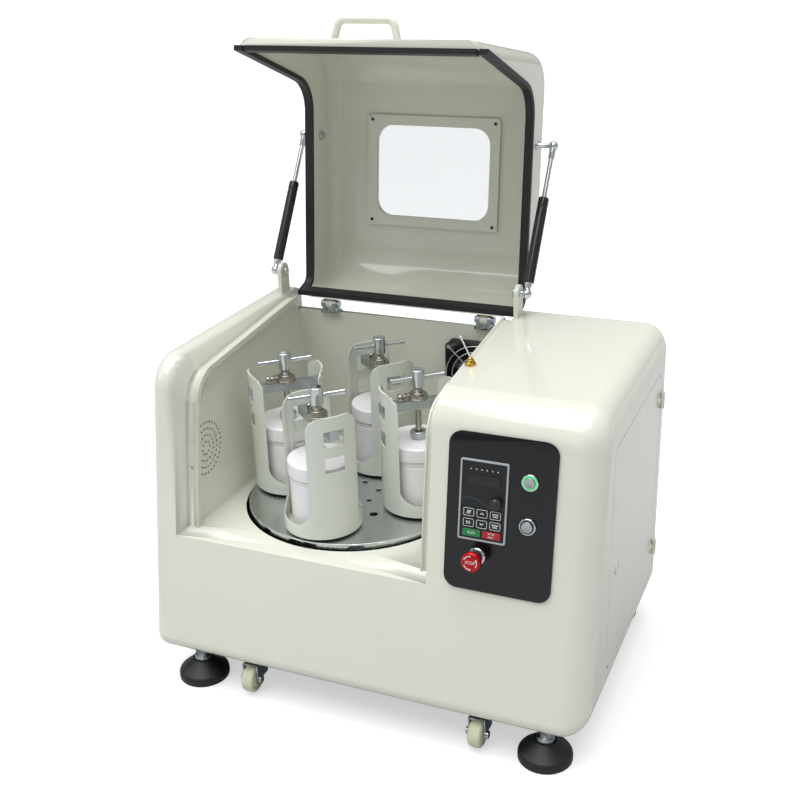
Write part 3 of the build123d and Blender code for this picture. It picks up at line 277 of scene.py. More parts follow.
@dataclass(frozen=True)
class Finish:
    """One real finish and the numbers that draw it."""
    name: str
    slot: str
    colour: str
    shade: str
    patch_mm: float
    roughness: tuple[float, float]
    grain_mm: float
    grain_depth_mm: float
    metallic: float = 0.0
    ior: float = 1.5
    coat: float = 0.0
    marks: Marks = Marks.EVEN
    alpha: float = 1.0
    clear: float = 0.0
    glow: float = 0.0

    def material(self) -> bpy.types.Material:
        """Return the finish's material, made on first use."""
        made = bpy.data.materials.get(self.name)
        return made or self.build()

    def build(self) -> bpy.types.Material:
        """Draw the finish: slow colour change, fine roughness change and relief."""
        material = bpy.data.materials.new(self.name)
        material.use_nodes = True
        tree = material.node_tree
        shader = tree.nodes["Principled BSDF"]
        for socket, value in (("Metallic", self.metallic), ("IOR", self.ior),
                              ("Coat Weight", self.coat), ("Coat Roughness", 0.08),
                              ("Alpha", self.alpha), ("Transmission Weight", self.clear)):
            shader.inputs[socket].default_value = value
        if self.glow:
            shader.inputs["Emission Color"].default_value = linear(self.colour)
            shader.inputs["Emission Strength"].default_value = self.glow
        where = add_node(tree, "ShaderNodeTexCoord")
        centred = add_node(tree, "ShaderNodeMapping", links={"Vector": where.outputs["Object"]},
                           Location=(-MID.x, -MID.y, 0))
        patches = add_node(tree, "ShaderNodeTexNoise", Scale=1 / (self.patch_mm * MM), Detail=3.0,
                           links={"Vector": centred.outputs["Vector"]})
        tone = add_node(tree, "ShaderNodeMix", {"data_type": "RGBA"},
                        links={0: patches.outputs["Fac"]})
        tone.inputs[6].default_value = linear(self.colour)
        tone.inputs[7].default_value = linear(self.shade)
        tree.links.new(tone.outputs[2], shader.inputs["Base Color"])
        fine = self.fine_marks(tree, centred)
        gloss = add_node(tree, "ShaderNodeMapRange", links={"Value": fine},
                         **{"From Min": 0.3, "From Max": 0.7, "To Min": self.roughness[0],
                            "To Max": self.roughness[1]})
        tree.links.new(gloss.outputs["Result"], shader.inputs["Roughness"])
        relief = add_node(tree, "ShaderNodeBump", links={"Height": fine}, Strength=0.6,
                          Distance=self.grain_depth_mm * MM)
        tree.links.new(relief.outputs["Normal"], shader.inputs["Normal"])
        return material

    def fine_marks(self, tree: bpy.types.NodeTree, centred: bpy.types.Node
                   ) -> bpy.types.NodeSocket:
        """Return the fine marks: an even grain, brushing along an axis, or turning rings."""
        if self.marks is Marks.RINGS:
            rings = add_node(tree, "ShaderNodeTexWave",
                             {"wave_type": "RINGS", "rings_direction": "Z"},
                             links={"Vector": centred.outputs["Vector"]}, Distortion=0.4,
                             Detail=3.0, Scale=0.31 / (self.grain_mm * MM),
                             **{"Detail Scale": 3.0})
            return rings.outputs["Fac"]
        lengthened = add_node(tree, "ShaderNodeMapping",
                              links={"Vector": centred.outputs["Vector"]},
                              Scale=STRETCH[self.marks])
        grain = add_node(tree, "ShaderNodeTexNoise", Scale=1 / (self.grain_mm * MM), Detail=4.0,
                         links={"Vector": lengthened.outputs["Vector"]})
        return grain.outputs["Fac"]


def add_node(tree: bpy.types.NodeTree, kind: str, settings: dict | None = None,
             links: dict | None = None, **values: object) -> bpy.types.Node:
    """Add a node with its settings, input links and input values.

    Args:
        tree: the material's node tree.
        kind: Blender's name of the node type.
        settings: node properties to set.
        links: input name or number, with the output that feeds it.
        values: input name and default value.

    Returns:
        The new node.
    """
    node = tree.nodes.new(kind)
    for key, value in (settings or {}).items():
        setattr(node, key, value)
    for key, value in values.items():
        node.inputs[key].default_value = value
    for key, source in (links or {}).items():
        tree.links.new(source, node.inputs[key])
    return node


# Gloss enamel sprayed on moulded panels: an even cream with a faint orange peel
CREAM_ENAMEL = Finish("cream_gloss_enamel", "enamel", "E4E4D6", "DEDFD0", 220, (0.10, 0.17),
                      7, 0.04, coat=0.35)
# The same enamel where it was sprayed on bent steel pots, slightly yellower and duller
POT_ENAMEL = Finish("cream_enamel_on_steel", "enamel", "DEE0D6", "D6D9CE", 140, (0.18, 0.26),
                    9, 0.02, coat=0.2)
# Extruded sponge rubber of the lid seal: black with a soft sheen and fine skin marks
SEAL_RUBBER = Finish("extruded_rubber", "rubber", "121213", "1D1D1F", 25, (0.42, 0.6), 0.8, 0.06)
# Moulded rubber of the feet, dustier and duller than the seal
FOOT_RUBBER = Finish("moulded_foot_rubber", "rubber", "0E0E0F", "1B1B1C", 12, (0.36, 0.55), 0.9,
                     0.08)
# Ground stainless steel disc, lathe rings drawn coarse enough to show
TURNED_STEEL = Finish("ground_stainless_disc", "steel", "DADDDE", "CDD1D2", 45, (0.20, 0.32), 2.2,
                      0.01, metallic=1.0, marks=Marks.RINGS)
# Brushed stainless steel of button caps and feet of the clamps
BRUSHED_STEEL = Finish("brushed_stainless", "steel", "C4C7C8", "B2B6B8", 20, (0.24, 0.38), 0.8,
                       0.02, metallic=1.0, marks=Marks.ALONG_X)
# Bright chrome plating on the T-handles, rods and rings
CHROME = Finish("chrome_plating", "chrome", "DADCDE", "CFD2D5", 30, (0.05, 0.12), 3, 0.01,
                metallic=1.0)
# Bright zinc plating on bars, hinges, bolts and forks: greyer and blotchier than chrome
ZINC = Finish("bright_zinc_plating", "zinc", "C6CDD1", "AEB6BB", 14, (0.24, 0.36), 1.6, 0.02,
              metallic=1.0)
# Nickel plating on the knurled nuts
NICKEL = Finish("nickel_plating", "zinc", "B9B4AA", "9D988F", 7, (0.16, 0.27), 1.0, 0.02,
                metallic=1.0)
# Black oxide on small screws
BLACK_OXIDE = Finish("black_oxide_screws", "zinc", "3A3A3C", "2A2A2C", 5, (0.35, 0.5), 0.6, 0.02,
                     metallic=0.8)
# Machined steel of the turning bases under the pots, coloured dark grey
DARK_STEEL = Finish("dark_machined_steel", "steel", "4E5154", "3C3F42", 25, (0.28, 0.4), 1.0,
                    0.02, metallic=0.9)
# Black enamel on the gas spring tubes
BLACK_ENAMEL = Finish("black_gloss_enamel", "black_paint", "0B0B0D", "131316", 30, (0.14, 0.24),
                      2, 0.02, coat=0.3)
# Satin black powder coat of the base frame and the fan
BLACK_POWDER = Finish("black_powder_coat", "black_paint", "151517", "1E1E20", 14, (0.4, 0.55),
                      0.7, 0.05)
# Printed polycarbonate face of the control panel
PANEL_FACE = Finish("black_polycarbonate", "black", "08090A", "0D0E10", 60, (0.16, 0.24), 1.0,
                    0.01)
# Moulded ABS of the keypad and its parts
GREY_ABS = Finish("light_grey_moulded_abs", "black", "B4B7B9", "A8ABAE", 18, (0.34, 0.46), 0.5,
                  0.03)
BLACK_ABS = Finish("black_moulded_abs", "black", "101113", "17181A", 18, (0.32, 0.45), 0.5, 0.03)
# The dial's softer charcoal, rubbed grey on its edges
KNOB_ABS = Finish("charcoal_dial_abs", "black", "2A2724", "35312D", 4, (0.4, 0.55), 0.5, 0.03)
# Smoked acrylic over the display, clean and glossy
SMOKED_ACRYLIC = Finish("smoked_acrylic", "black", "17181B", "1B1C1F", 30, (0.08, 0.14), 2,
                        0.005)
# Screen-printed ink on the keypad
WHITE_INK = Finish("white_printed_ink", "black", "E4E6E7", "D6D8DA", 8, (0.45, 0.6), 0.4, 0.01)
BLUE_INK = Finish("blue_grey_printed_ink", "black", "4C5366", "434A5C", 8, (0.45, 0.6), 0.4, 0.01)
GREEN_KEY = Finish("green_printed_key", "black", "1F8A4C", "1A7C44", 10, (0.35, 0.5), 0.5, 0.01)
RED_KEY = Finish("red_printed_key", "black", "B5242A", "A51E25", 10, (0.35, 0.5), 0.5, 0.01)
# Lit ring around the running button, and the unlit one of the other
GREEN_LIGHT = Finish("lit_green_ring", "chrome", "3FD67E", "35C973", 6, (0.2, 0.3), 1, 0.01,
                     glow=0.6)
DARK_LIGHT = Finish("unlit_ring", "chrome", "39414B", "323A43", 6, (0.2, 0.3), 1, 0.01)
# Red anodised metal of the emergency stop
RED_ANODISED = Finish("red_anodised_aluminium", "red", "C3141C", "AE0F18", 12, (0.2, 0.3), 1.2,
                      0.02, metallic=0.55)
# Fired ceramic jars: smooth glaze, faintly pink-grey
JAR_CERAMIC = Finish("fired_ceramic", "ceramic", "F2F0F1", "EAE8E9", 30, (0.16, 0.28), 2.0, 0.02,
                     coat=0.2)
# Tan rubber ring between jar and lid
TAN_RUBBER = Finish("tan_silicone_ring", "ceramic", "B79C7C", "A88D6E", 8, (0.5, 0.65), 0.8, 0.03)
# Clear polycarbonate of the lid's window
CLEAR_SHEET = Finish("clear_polycarbonate", "pane", "F2F6F7", "EDF2F3", 90, (0.02, 0.05), 20,
                     0.002, ior=1.45, clear=1.0, alpha=0.35)
# Cream nylon castor wheels, scuffed on the tread
CREAM_NYLON = Finish("cream_cast_nylon", "nylon", "D9DABD", "C9C9A8", 9, (0.34, 0.52), 1.2, 0.05)
# Turned brass of the cable gland
BRASS = Finish("turned_brass", "brass", "D9B25B", "C39A43", 6, (0.15, 0.26), 0.8, 0.01,
               metallic=1.0)
# Grey machine paint on cast housings and the motor
CAST_PAINT = Finish("grey_paint_on_castings", "cast", "4A5157", "3E454B", 20, (0.45, 0.6), 1.6,
                    0.12)
# Moulded chloroprene drive belts
BELT_RUBBER = Finish("moulded_belt_rubber", "rubber", "17171A", "202024", 10, (0.5, 0.65), 0.8,
                     0.05)


# Fitting pieces to the frame
def finish_piece(piece: bpy.types.Object, name: str, finish: Finish, body: str,
                 nodes: Iterable[str] = (), smooth: float = 35.0) -> bpy.types.Object:
    """Name, shade, dress and mount one finished piece.

    Args:
        piece: the modelled piece, in place.
        name: its name.
        finish: its material.
        body: the body that it moves with.
        nodes: the CAD nodes that it stands for.
        smooth: edges sharper than this angle in degrees stay sharp.

    Returns:
        The same piece.
    """
    apply_place(piece)
    piece.name = name
    piece.data.name = name
    pick(piece)
    bpy.ops.object.shade_smooth_by_angle(angle=radians(smooth))
    weigh = piece.modifiers.new("weigh", "WEIGHTED_NORMAL")
    weigh.keep_sharp = True
    bpy.ops.object.modifier_apply(modifier=weigh.name)
    piece.data.materials.clear()
    piece.data.materials.append(finish.material())
    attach(piece, body)
    if nodes:
        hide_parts(*nodes)
    log.info("%s rides on %s", name, body)
    return piece


def merged_copy(node: str) -> bpy.types.Object:
    """Copy a CAD node into a piece of its own and merge its loose triangles."""
    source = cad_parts[node]
    piece = bpy.data.objects.new(node, source.data.copy())
    bpy.context.scene.collection.objects.link(piece)
    pick(piece)
    bpy.ops.object.mode_set(mode="EDIT")
    bpy.ops.mesh.select_all(action="SELECT")
    bpy.ops.mesh.remove_doubles(threshold=MERGE)
    bpy.ops.object.mode_set(mode="OBJECT")
    return piece


def carry(node: str, finish: Finish, body: str, smooth: float = 35.0) -> bpy.types.Object:
    """Dress a CAD node whose shape is right, with its curves shaded smooth."""
    return finish_piece(merged_copy(node), f"{node}_dressed", finish, body, [node], smooth)


def carry_parts(node: str, body: str,
                sort: Callable[[Vector, Vector], tuple[str, Finish] | None]) -> None:
    """Dress a CAD node of several solids, each kind in its own finish.

    Args:
        node: the CAD node.
        body: the body that it moves with.
        sort: gives a solid's kind and finish from its size and middle, or None for a solid
            that a modelled piece stands for.
    """
    piece = merged_copy(node)
    pick(piece)
    bpy.ops.object.mode_set(mode="EDIT")
    bpy.ops.mesh.select_all(action="SELECT")
    bpy.ops.mesh.separate(type="LOOSE")
    bpy.ops.object.mode_set(mode="OBJECT")
    kinds: dict[str, tuple[Finish, list[bpy.types.Object]]] = {}
    for solid in list(bpy.context.selected_objects):
        corners = [Vector(c) for c in solid.bound_box]
        low = Vector([min(c[i] for c in corners) for i in range(3)])
        high = Vector([max(c[i] for c in corners) for i in range(3)])
        sorted_as = sort(high - low, (high + low) / 2)
        if sorted_as is None:
            bpy.data.objects.remove(solid)
            continue
        kind, finish = sorted_as
        kinds.setdefault(kind, (finish, []))[1].append(solid)
    for kind, (finish, solids) in sorted(kinds.items()):
        finish_piece(join(solids), kind, finish, body, [node])


# Cabinet with its chamber, door, fan and switch
@dataclass
class Cabinet:
    """Cabinet moulding, its side door, the fan and the lid switch."""

    def build(self) -> None:
        """Dress the cabinet's pieces."""
        carry("case_shell", CREAM_ENAMEL, "root", 30)
        carry_parts("side_door", "door", self.door_part)
        carry("door_lock_plug", CHROME, "door_lock")
        carry("door_hinges", CREAM_ENAMEL, "root")
        carry_parts("fan_frame", "root", self.fan_part)
        carry("fan_rotor", BLACK_ABS, "fan")
        carry_parts("lid_switch", "root", self.switch_part)
        for node, finish in (("base_frame", BLACK_POWDER), ("drive_deck", ZINC),
                             ("bearing_housing", CAST_PAINT), ("motor", CAST_PAINT),
                             ("drive_belt", BELT_RUBBER)):
            carry(node, finish, "root")
        carry("motor_pulley", CAST_PAINT, "motor_rotor")

    def door_part(self, size: Vector, middle: Vector) -> tuple[str, Finish]:
        """Tell the door from its knuckles and its lock barrel."""
        if size.y > 0.2:
            return "side_door_panel", CREAM_ENAMEL
        return ("door_lock_barrel", CHROME) if middle.y < 0 else ("door_knuckles", CREAM_ENAMEL)

    def fan_part(self, size: Vector, middle: Vector) -> tuple[str, Finish]:
        """Tell the fan's housing from its wire guard."""
        return ("fan_housing", BLACK_ABS) if size.y > 0.015 else ("fan_wire_guard", CHROME)

    def switch_part(self, size: Vector, middle: Vector) -> tuple[str, Finish]:
        """Tell the switch's gland from its wand."""
        return ("switch_wand", CHROME) if size.z > 0.03 else ("switch_gland", BRASS)


# Feet and castors
@dataclass
class Undercarriage:
    """Four levelling feet and four castors."""

    def build(self) -> None:
        """Model the feet, forks and wheels."""
        carry_parts("levelling_feet", "root", self.foot_part)
        carry("castor_plates", ZINC, "root")
        carry("castor_forks_rear", ZINC, "root")
        for hand in ("left", "right"):
            carry(f"castor_fork_{hand}", ZINC, f"castor_fork_{hand}")
        for number in (1, 2, 3, 4):
            self.wheel(number)

    def foot_part(self, size: Vector, middle: Vector) -> tuple[str, Finish]:
        """Tell the rubber pads from the studs."""
        return ("foot_pads", FOOT_RUBBER) if size.x > 0.05 else ("foot_studs", ZINC)

    def wheel(self, number: int) -> None:
        """Model one wheel with a crowned tread, dished sides and a hub."""
        low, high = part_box(f"castor_wheel_{number}")
        radius, half = (high.z - low.z) / 2 / MM, (high.x - low.x) / 2 / MM
        steps = [(8.2, -half), (12, -half), (13, -half + 2), (radius - 7, -half + 2),
                 (radius - 6, -half), (radius - 4, -half), (radius - 1.2, -half + 2),
                 (radius - 0.2, -half + 5), (radius, 0), (radius - 0.2, half - 5),
                 (radius - 1.2, half - 2), (radius - 4, half), (radius - 6, half),
                 (radius - 7, half - 2), (13, half - 2), (12, half), (8.2, half), (4.2, half),
                 (4.2, -half)]
        wheel = turned(steps, 48, bored=True)
        place(wheel, Matrix.Translation((low + high) / 2) @ Matrix.Rotation(pi / 2, 4, "Y"))
        finish_piece(wheel, f"nylon_wheel_{number}", CREAM_NYLON, f"castor_wheel_{number}",
                     [f"castor_wheel_{number}"])


# Turning disc and its four stations
@dataclass
class Turntable:
    """Turning disc with the pots, jars and clamps."""
    count: int = 4
    pot_turns: tuple[float, ...] = (-40.0, 40.0, -40.0, 40.0)
    handle_turn: float = 42.0
    handle_half: float = 46.0
    bar_top: float = 465.0
    bar_length: float = 128.0
    bar_wide: float = 16.0
    bore_radius: float = 7.4
    hub_height: float = 29.0
    thread_radius: float = 7.3
    thread_pitch: float = 2.4
    stem_radius: float = 5.0

    def build(self) -> None:
        """Dress the disc and model every station."""
        carry_parts("turning_disc", "turntable", self.disc_part)
        carry("main_shaft", CAST_PAINT, "turntable")
        carry("planet_belts", BELT_RUBBER, "turntable")
        for index in range(self.count):
            self.station(index + 1, self.pot_turns[index])

    def disc_part(self, size: Vector, middle: Vector) -> tuple[str, Finish]:
        """Tell the disc from its bolts and its bearings."""
        if size.x > 0.2:
            return "ground_disc", TURNED_STEEL
        return ("disc_bolts", BLACK_OXIDE) if size.x < 0.012 else ("planet_bearings", CAST_PAINT)

    def station(self, number: int, turn: float) -> None:
        """Model one pot with its jar, bar, nut and clamp."""
        body = f"station_{number}"
        carry_parts(f"pot_carrier_{number}", body,
                    lambda size, middle: self.pot_part(number, size, middle))
        self.jar(number, body)
        self.bar(number, body, turn)
        self.nut(number, body, turn)
        carry(f"clamp_foot_{number}", BRUSHED_STEEL, f"clamp_foot_{number}")
        self.screw(number)

    def pot_part(self, number: int, size: Vector, middle: Vector
                 ) -> tuple[str, Finish] | None:
        """Tell a pot's sleeve from its base; the bar and the nut are modelled."""
        if size.z > 0.19 and size.x > 0.09 and middle.z > 0.36:
            return f"pot_sleeve_{number}", POT_ENAMEL
        return (f"pot_base_{number}", DARK_STEEL) if middle.z < 0.3 else None

    def bar(self, number: int, body: str, turn: float) -> None:
        """Model the square bar across a pot, bored for its clamp screw."""
        middle = corner_mid(f"clamp_foot_{number}")
        bar = block((self.bar_length, self.bar_wide, self.bar_wide), (0, 0, 0), 1.4, 2)
        bpy.ops.mesh.primitive_cylinder_add(vertices=64, radius=self.bore_radius * MM,
                                            depth=2 * self.bar_wide * MM)
        drill = bpy.context.object
        pick(bar)
        bored = bar.modifiers.new("bore", "BOOLEAN")
        bored.object = drill
        bored.operation = "DIFFERENCE"
        bored.solver = "EXACT"
        bpy.ops.object.modifier_apply(modifier=bored.name)
        bpy.data.objects.remove(drill)
        at = Matrix.Translation((middle.x, middle.y, (self.bar_top - self.bar_wide / 2) * MM))
        finish_piece(place(bar, at @ Matrix.Rotation(radians(turn), 4, "Z")),
                     f"clamp_bar_{number}", ZINC, body)

    def nut(self, number: int, body: str, turn: float) -> None:
        """Model the knurled nut on the bar with its spring latch."""
        middle = corner_mid(f"clamp_foot_{number}")
        at = Matrix.Translation((middle.x, middle.y, self.bar_top * MM))
        ring = turned([(9, 0), (15.5, 0), (16.3, 0.7), (16.3, 3.7), (15.5, 4.2), (15.5, 4.7),
                       (16.3, 5.2), (16.3, 8.2), (15.5, 9), (11.8, 9.2), (11.4, 9.8),
                       (11.4, 12.4), (10.8, 13), (7.6, 13), (7.6, 0)], KNURLS * 2, bored=True)
        finish_piece(place(knurled(ring, 15.9, 0.955), at), f"knurled_nut_{number}", NICKEL, body,
                     smooth=20)
        at = at @ Matrix.Rotation(radians(turn), 4, "Z")
        along = Matrix.Rotation(-pi / 2, 4, "Y")
        plunger = turned([(2, 12), (4, 12), (4, 17), (4.6, 17.4), (4.6, 18.4), (4, 18.8),
                          (4, 19.8), (4.6, 20.2), (4.6, 21.2), (4, 21.6), (4, 25), (2.2, 25.4),
                          (2.2, 27.5), (5.4, 28), (6.2, 29), (6.2, 31.8), (5.4, 33), (2, 33.4)],
                         32)
        plunger = place(plunger, Matrix.Translation((0, 0, 6 * MM)) @ along)
        foot = block((19, 9, 3.4), (-23.5, 0, 1.7), 0.8)
        cheek = block((3.4, 11, 11.5), (-18.6, 0, 5.75), 1.2)
        latch = join([plunger, foot, cheek])
        finish_piece(place(latch, at), f"nut_latch_{number}", NICKEL, body)

    def screw(self, number: int) -> None:
        """Model a clamp screw: stem, thread, hub and cross bar."""
        low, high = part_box(f"clamp_screw_{number}")
        middle, body = corner_mid(f"clamp_foot_{number}"), f"clamp_screw_{number}"
        at = Matrix.Translation((middle.x, middle.y, high.z))
        hub = turned([(6, -self.hub_height), (9.8, -self.hub_height), (10.8, 1 - self.hub_height),
                      (10.8, -2), (10.2, -0.8), (9, -0.1), (7.6, 0), (3, 0)], 48)
        arm = self.handle_half
        bar = turned([(1.6, -arm), (3.5, -arm), (4.4, 0.8 - arm), (4.4, 6 - arm),
                      (4.0, 6.6 - arm), (4.0, -13), (3.2, -12.4), (3.2, -10.9), (3.7, -10.5),
                      (3.7, 10.5), (3.2, 10.9), (3.2, 12.4), (4.0, 13), (4.0, arm - 6.6),
                      (4.4, arm - 6), (4.4, arm - 0.8), (3.5, arm), (1.6, arm)], 32)
        across = Matrix.Rotation(radians(self.handle_turn), 4, "Z") @ Matrix.Rotation(
            pi / 2, 4, "Y")
        bar = place(bar, Matrix.Translation((0, 0, -self.hub_height / 2 * MM)) @ across)
        finish_piece(place(join([hub, bar]), at), f"cross_handle_{number}", CHROME, body,
                     [f"clamp_screw_{number}"])
        stem_low, thread_low = (low.z - high.z) / MM, -self.hub_height - 34
        steps = [(self.stem_radius - 1, stem_low), (self.stem_radius, stem_low + 0.6),
                 (self.stem_radius, thread_low - 2), (self.thread_radius - 0.8, thread_low)]
        level = thread_low
        while level < -self.hub_height - self.thread_pitch:
            steps += [(self.thread_radius, level + self.thread_pitch * 0.35),
                      (self.thread_radius, level + self.thread_pitch * 0.55),
                      (self.thread_radius - 0.8, level + self.thread_pitch)]
            level += self.thread_pitch
        steps.append((self.thread_radius - 0.8, -self.hub_height + 0.5))
        finish_piece(place(turned(steps, 32), at), f"screw_thread_{number}", NICKEL, body)

    def jar(self, number: int, body: str) -> None:
        """Model one jar, its sealing ring and its lid."""
        low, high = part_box(f"jar_{number}")
        middle = (low + high) / 2
        at = Matrix.Translation((middle.x, middle.y, low.z))
        radius, rise = 50.0, (high.z - low.z) / MM - 24
        wall = turned([(44, 0), (47, 0.4), (49.2, 1.8), (radius, 4.5), (radius, rise - 11),
                       (radius - 0.9, rise - 10), (radius - 0.9, rise - 7), (radius, rise - 6),
                       (radius, rise - 2), (radius - 0.6, rise - 1.5), (43, rise - 1.5), (43, 8)],
                      96)
        finish_piece(place(wall, at), f"jar_body_{number}", JAR_CERAMIC, body,
                     [f"jar_{number}"])
        ring = turned([(49.4, rise - 1.5), (49.7, rise - 0.8), (49.4, rise), (43, rise),
                       (43, rise - 1.5)], 96, bored=True)
        finish_piece(place(ring, at), f"jar_ring_{number}", TAN_RUBBER, body)
        lid = turned([(51.5, rise), (53, rise + 1), (53, rise + 20), (52.2, rise + 22.4),
                      (50, rise + 23.8), (47, rise + 24), (22, rise + 24), (21, rise + 23.4)], 96)
        finish_piece(place(lid, at), f"jar_lid_{number}", JAR_CERAMIC, body)


# Lid with its window, seal, hinges and gas springs
@dataclass
class Lid:
    """Hinged lid and the two gas springs that hold it."""
    hands: tuple[str, ...] = ("left", "right")
    eye_radius: float = 8.5
    tube_low: float = 19.0
    tube_high: float = 169.0

    def build(self) -> None:
        """Dress the lid and its springs."""
        carry("lid_shell", CREAM_ENAMEL, "lid", 30)
        carry("lid_seal", SEAL_RUBBER, "lid")
        carry("lid_handle", CREAM_ENAMEL, "lid")
        carry("window_pane", CLEAR_SHEET, "lid")
        carry_parts("window_frame", "lid", self.window_part)
        carry_parts("hinge_lugs", "lid", self.lug_part)
        carry_parts("lid_brackets", "root", self.bracket_part)
        for hand in self.hands:
            self.spring_tube(hand)
            carry(f"spring_rod_{hand}", CHROME, f"spring_rod_{hand}")

    def spring_tube(self, hand: str) -> None:
        """Model one gas spring's tube with its groove and its lower ball socket."""
        node = f"spring_cylinder_{hand}"
        low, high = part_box(node)
        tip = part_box(f"spring_rod_{hand}")[1]
        eye = self.eye_radius * MM
        foot = Vector(((low.x + high.x) / 2, low.y + eye, low.z + eye))
        line = Vector((0, tip.y - eye - foot.y, tip.z - eye - foot.z))
        at = Matrix.Translation(foot) @ line.to_track_quat("Z", "X").to_matrix().to_4x4()
        start, end = self.tube_low, self.tube_high
        tube = turned([(5, start), (7.6, start), (9, start + 1.6), (9, end - 19), (8.5, end - 18),
                       (8.5, end - 16.6), (9, end - 15.6), (9, end - 1.8), (7.8, end),
                       (4.3, end), (4.3, end - 1.5)], 48)
        finish_piece(place(tube, at), f"gas_spring_tube_{hand}", BLACK_ENAMEL, node, [node])
        ball = [(self.eye_radius * cos(radians(a)), self.eye_radius * sin(radians(a)))
                for a in range(-84, 49, 11)]
        socket = turned(ball + [(5.2, 7.4), (5.0, 10), (5.6, 12.5), (6.4, 14), (6.4, start + 0.4),
                                (4, start + 0.4)], 32)
        finish_piece(place(socket, at), f"gas_spring_socket_{hand}", CHROME, node)

    def window_part(self, size: Vector, middle: Vector) -> tuple[str, Finish]:
        """Tell the window's clamp frame from its screws."""
        return ("window_clamp", CREAM_ENAMEL) if size.x > 0.05 else ("window_screws", BLACK_OXIDE)

    def lug_part(self, size: Vector, middle: Vector) -> tuple[str, Finish]:
        """Tell the hinge lugs from the stud nuts."""
        return ("hinge_arms", CREAM_ENAMEL) if middle.z < 0.6 else ("stud_nuts", ZINC)

    def bracket_part(self, size: Vector, middle: Vector) -> tuple[str, Finish]:
        """Tell the painted brackets from the bright pins and bolts."""
        if size.z > 0.04:
            return "spring_brackets", CREAM_ENAMEL
        if middle.z > 0.56:
            return "spring_bolts", CHROME
        return ("hinge_brackets", ZINC) if size.z > 0.018 else ("hinge_pins", CHROME)


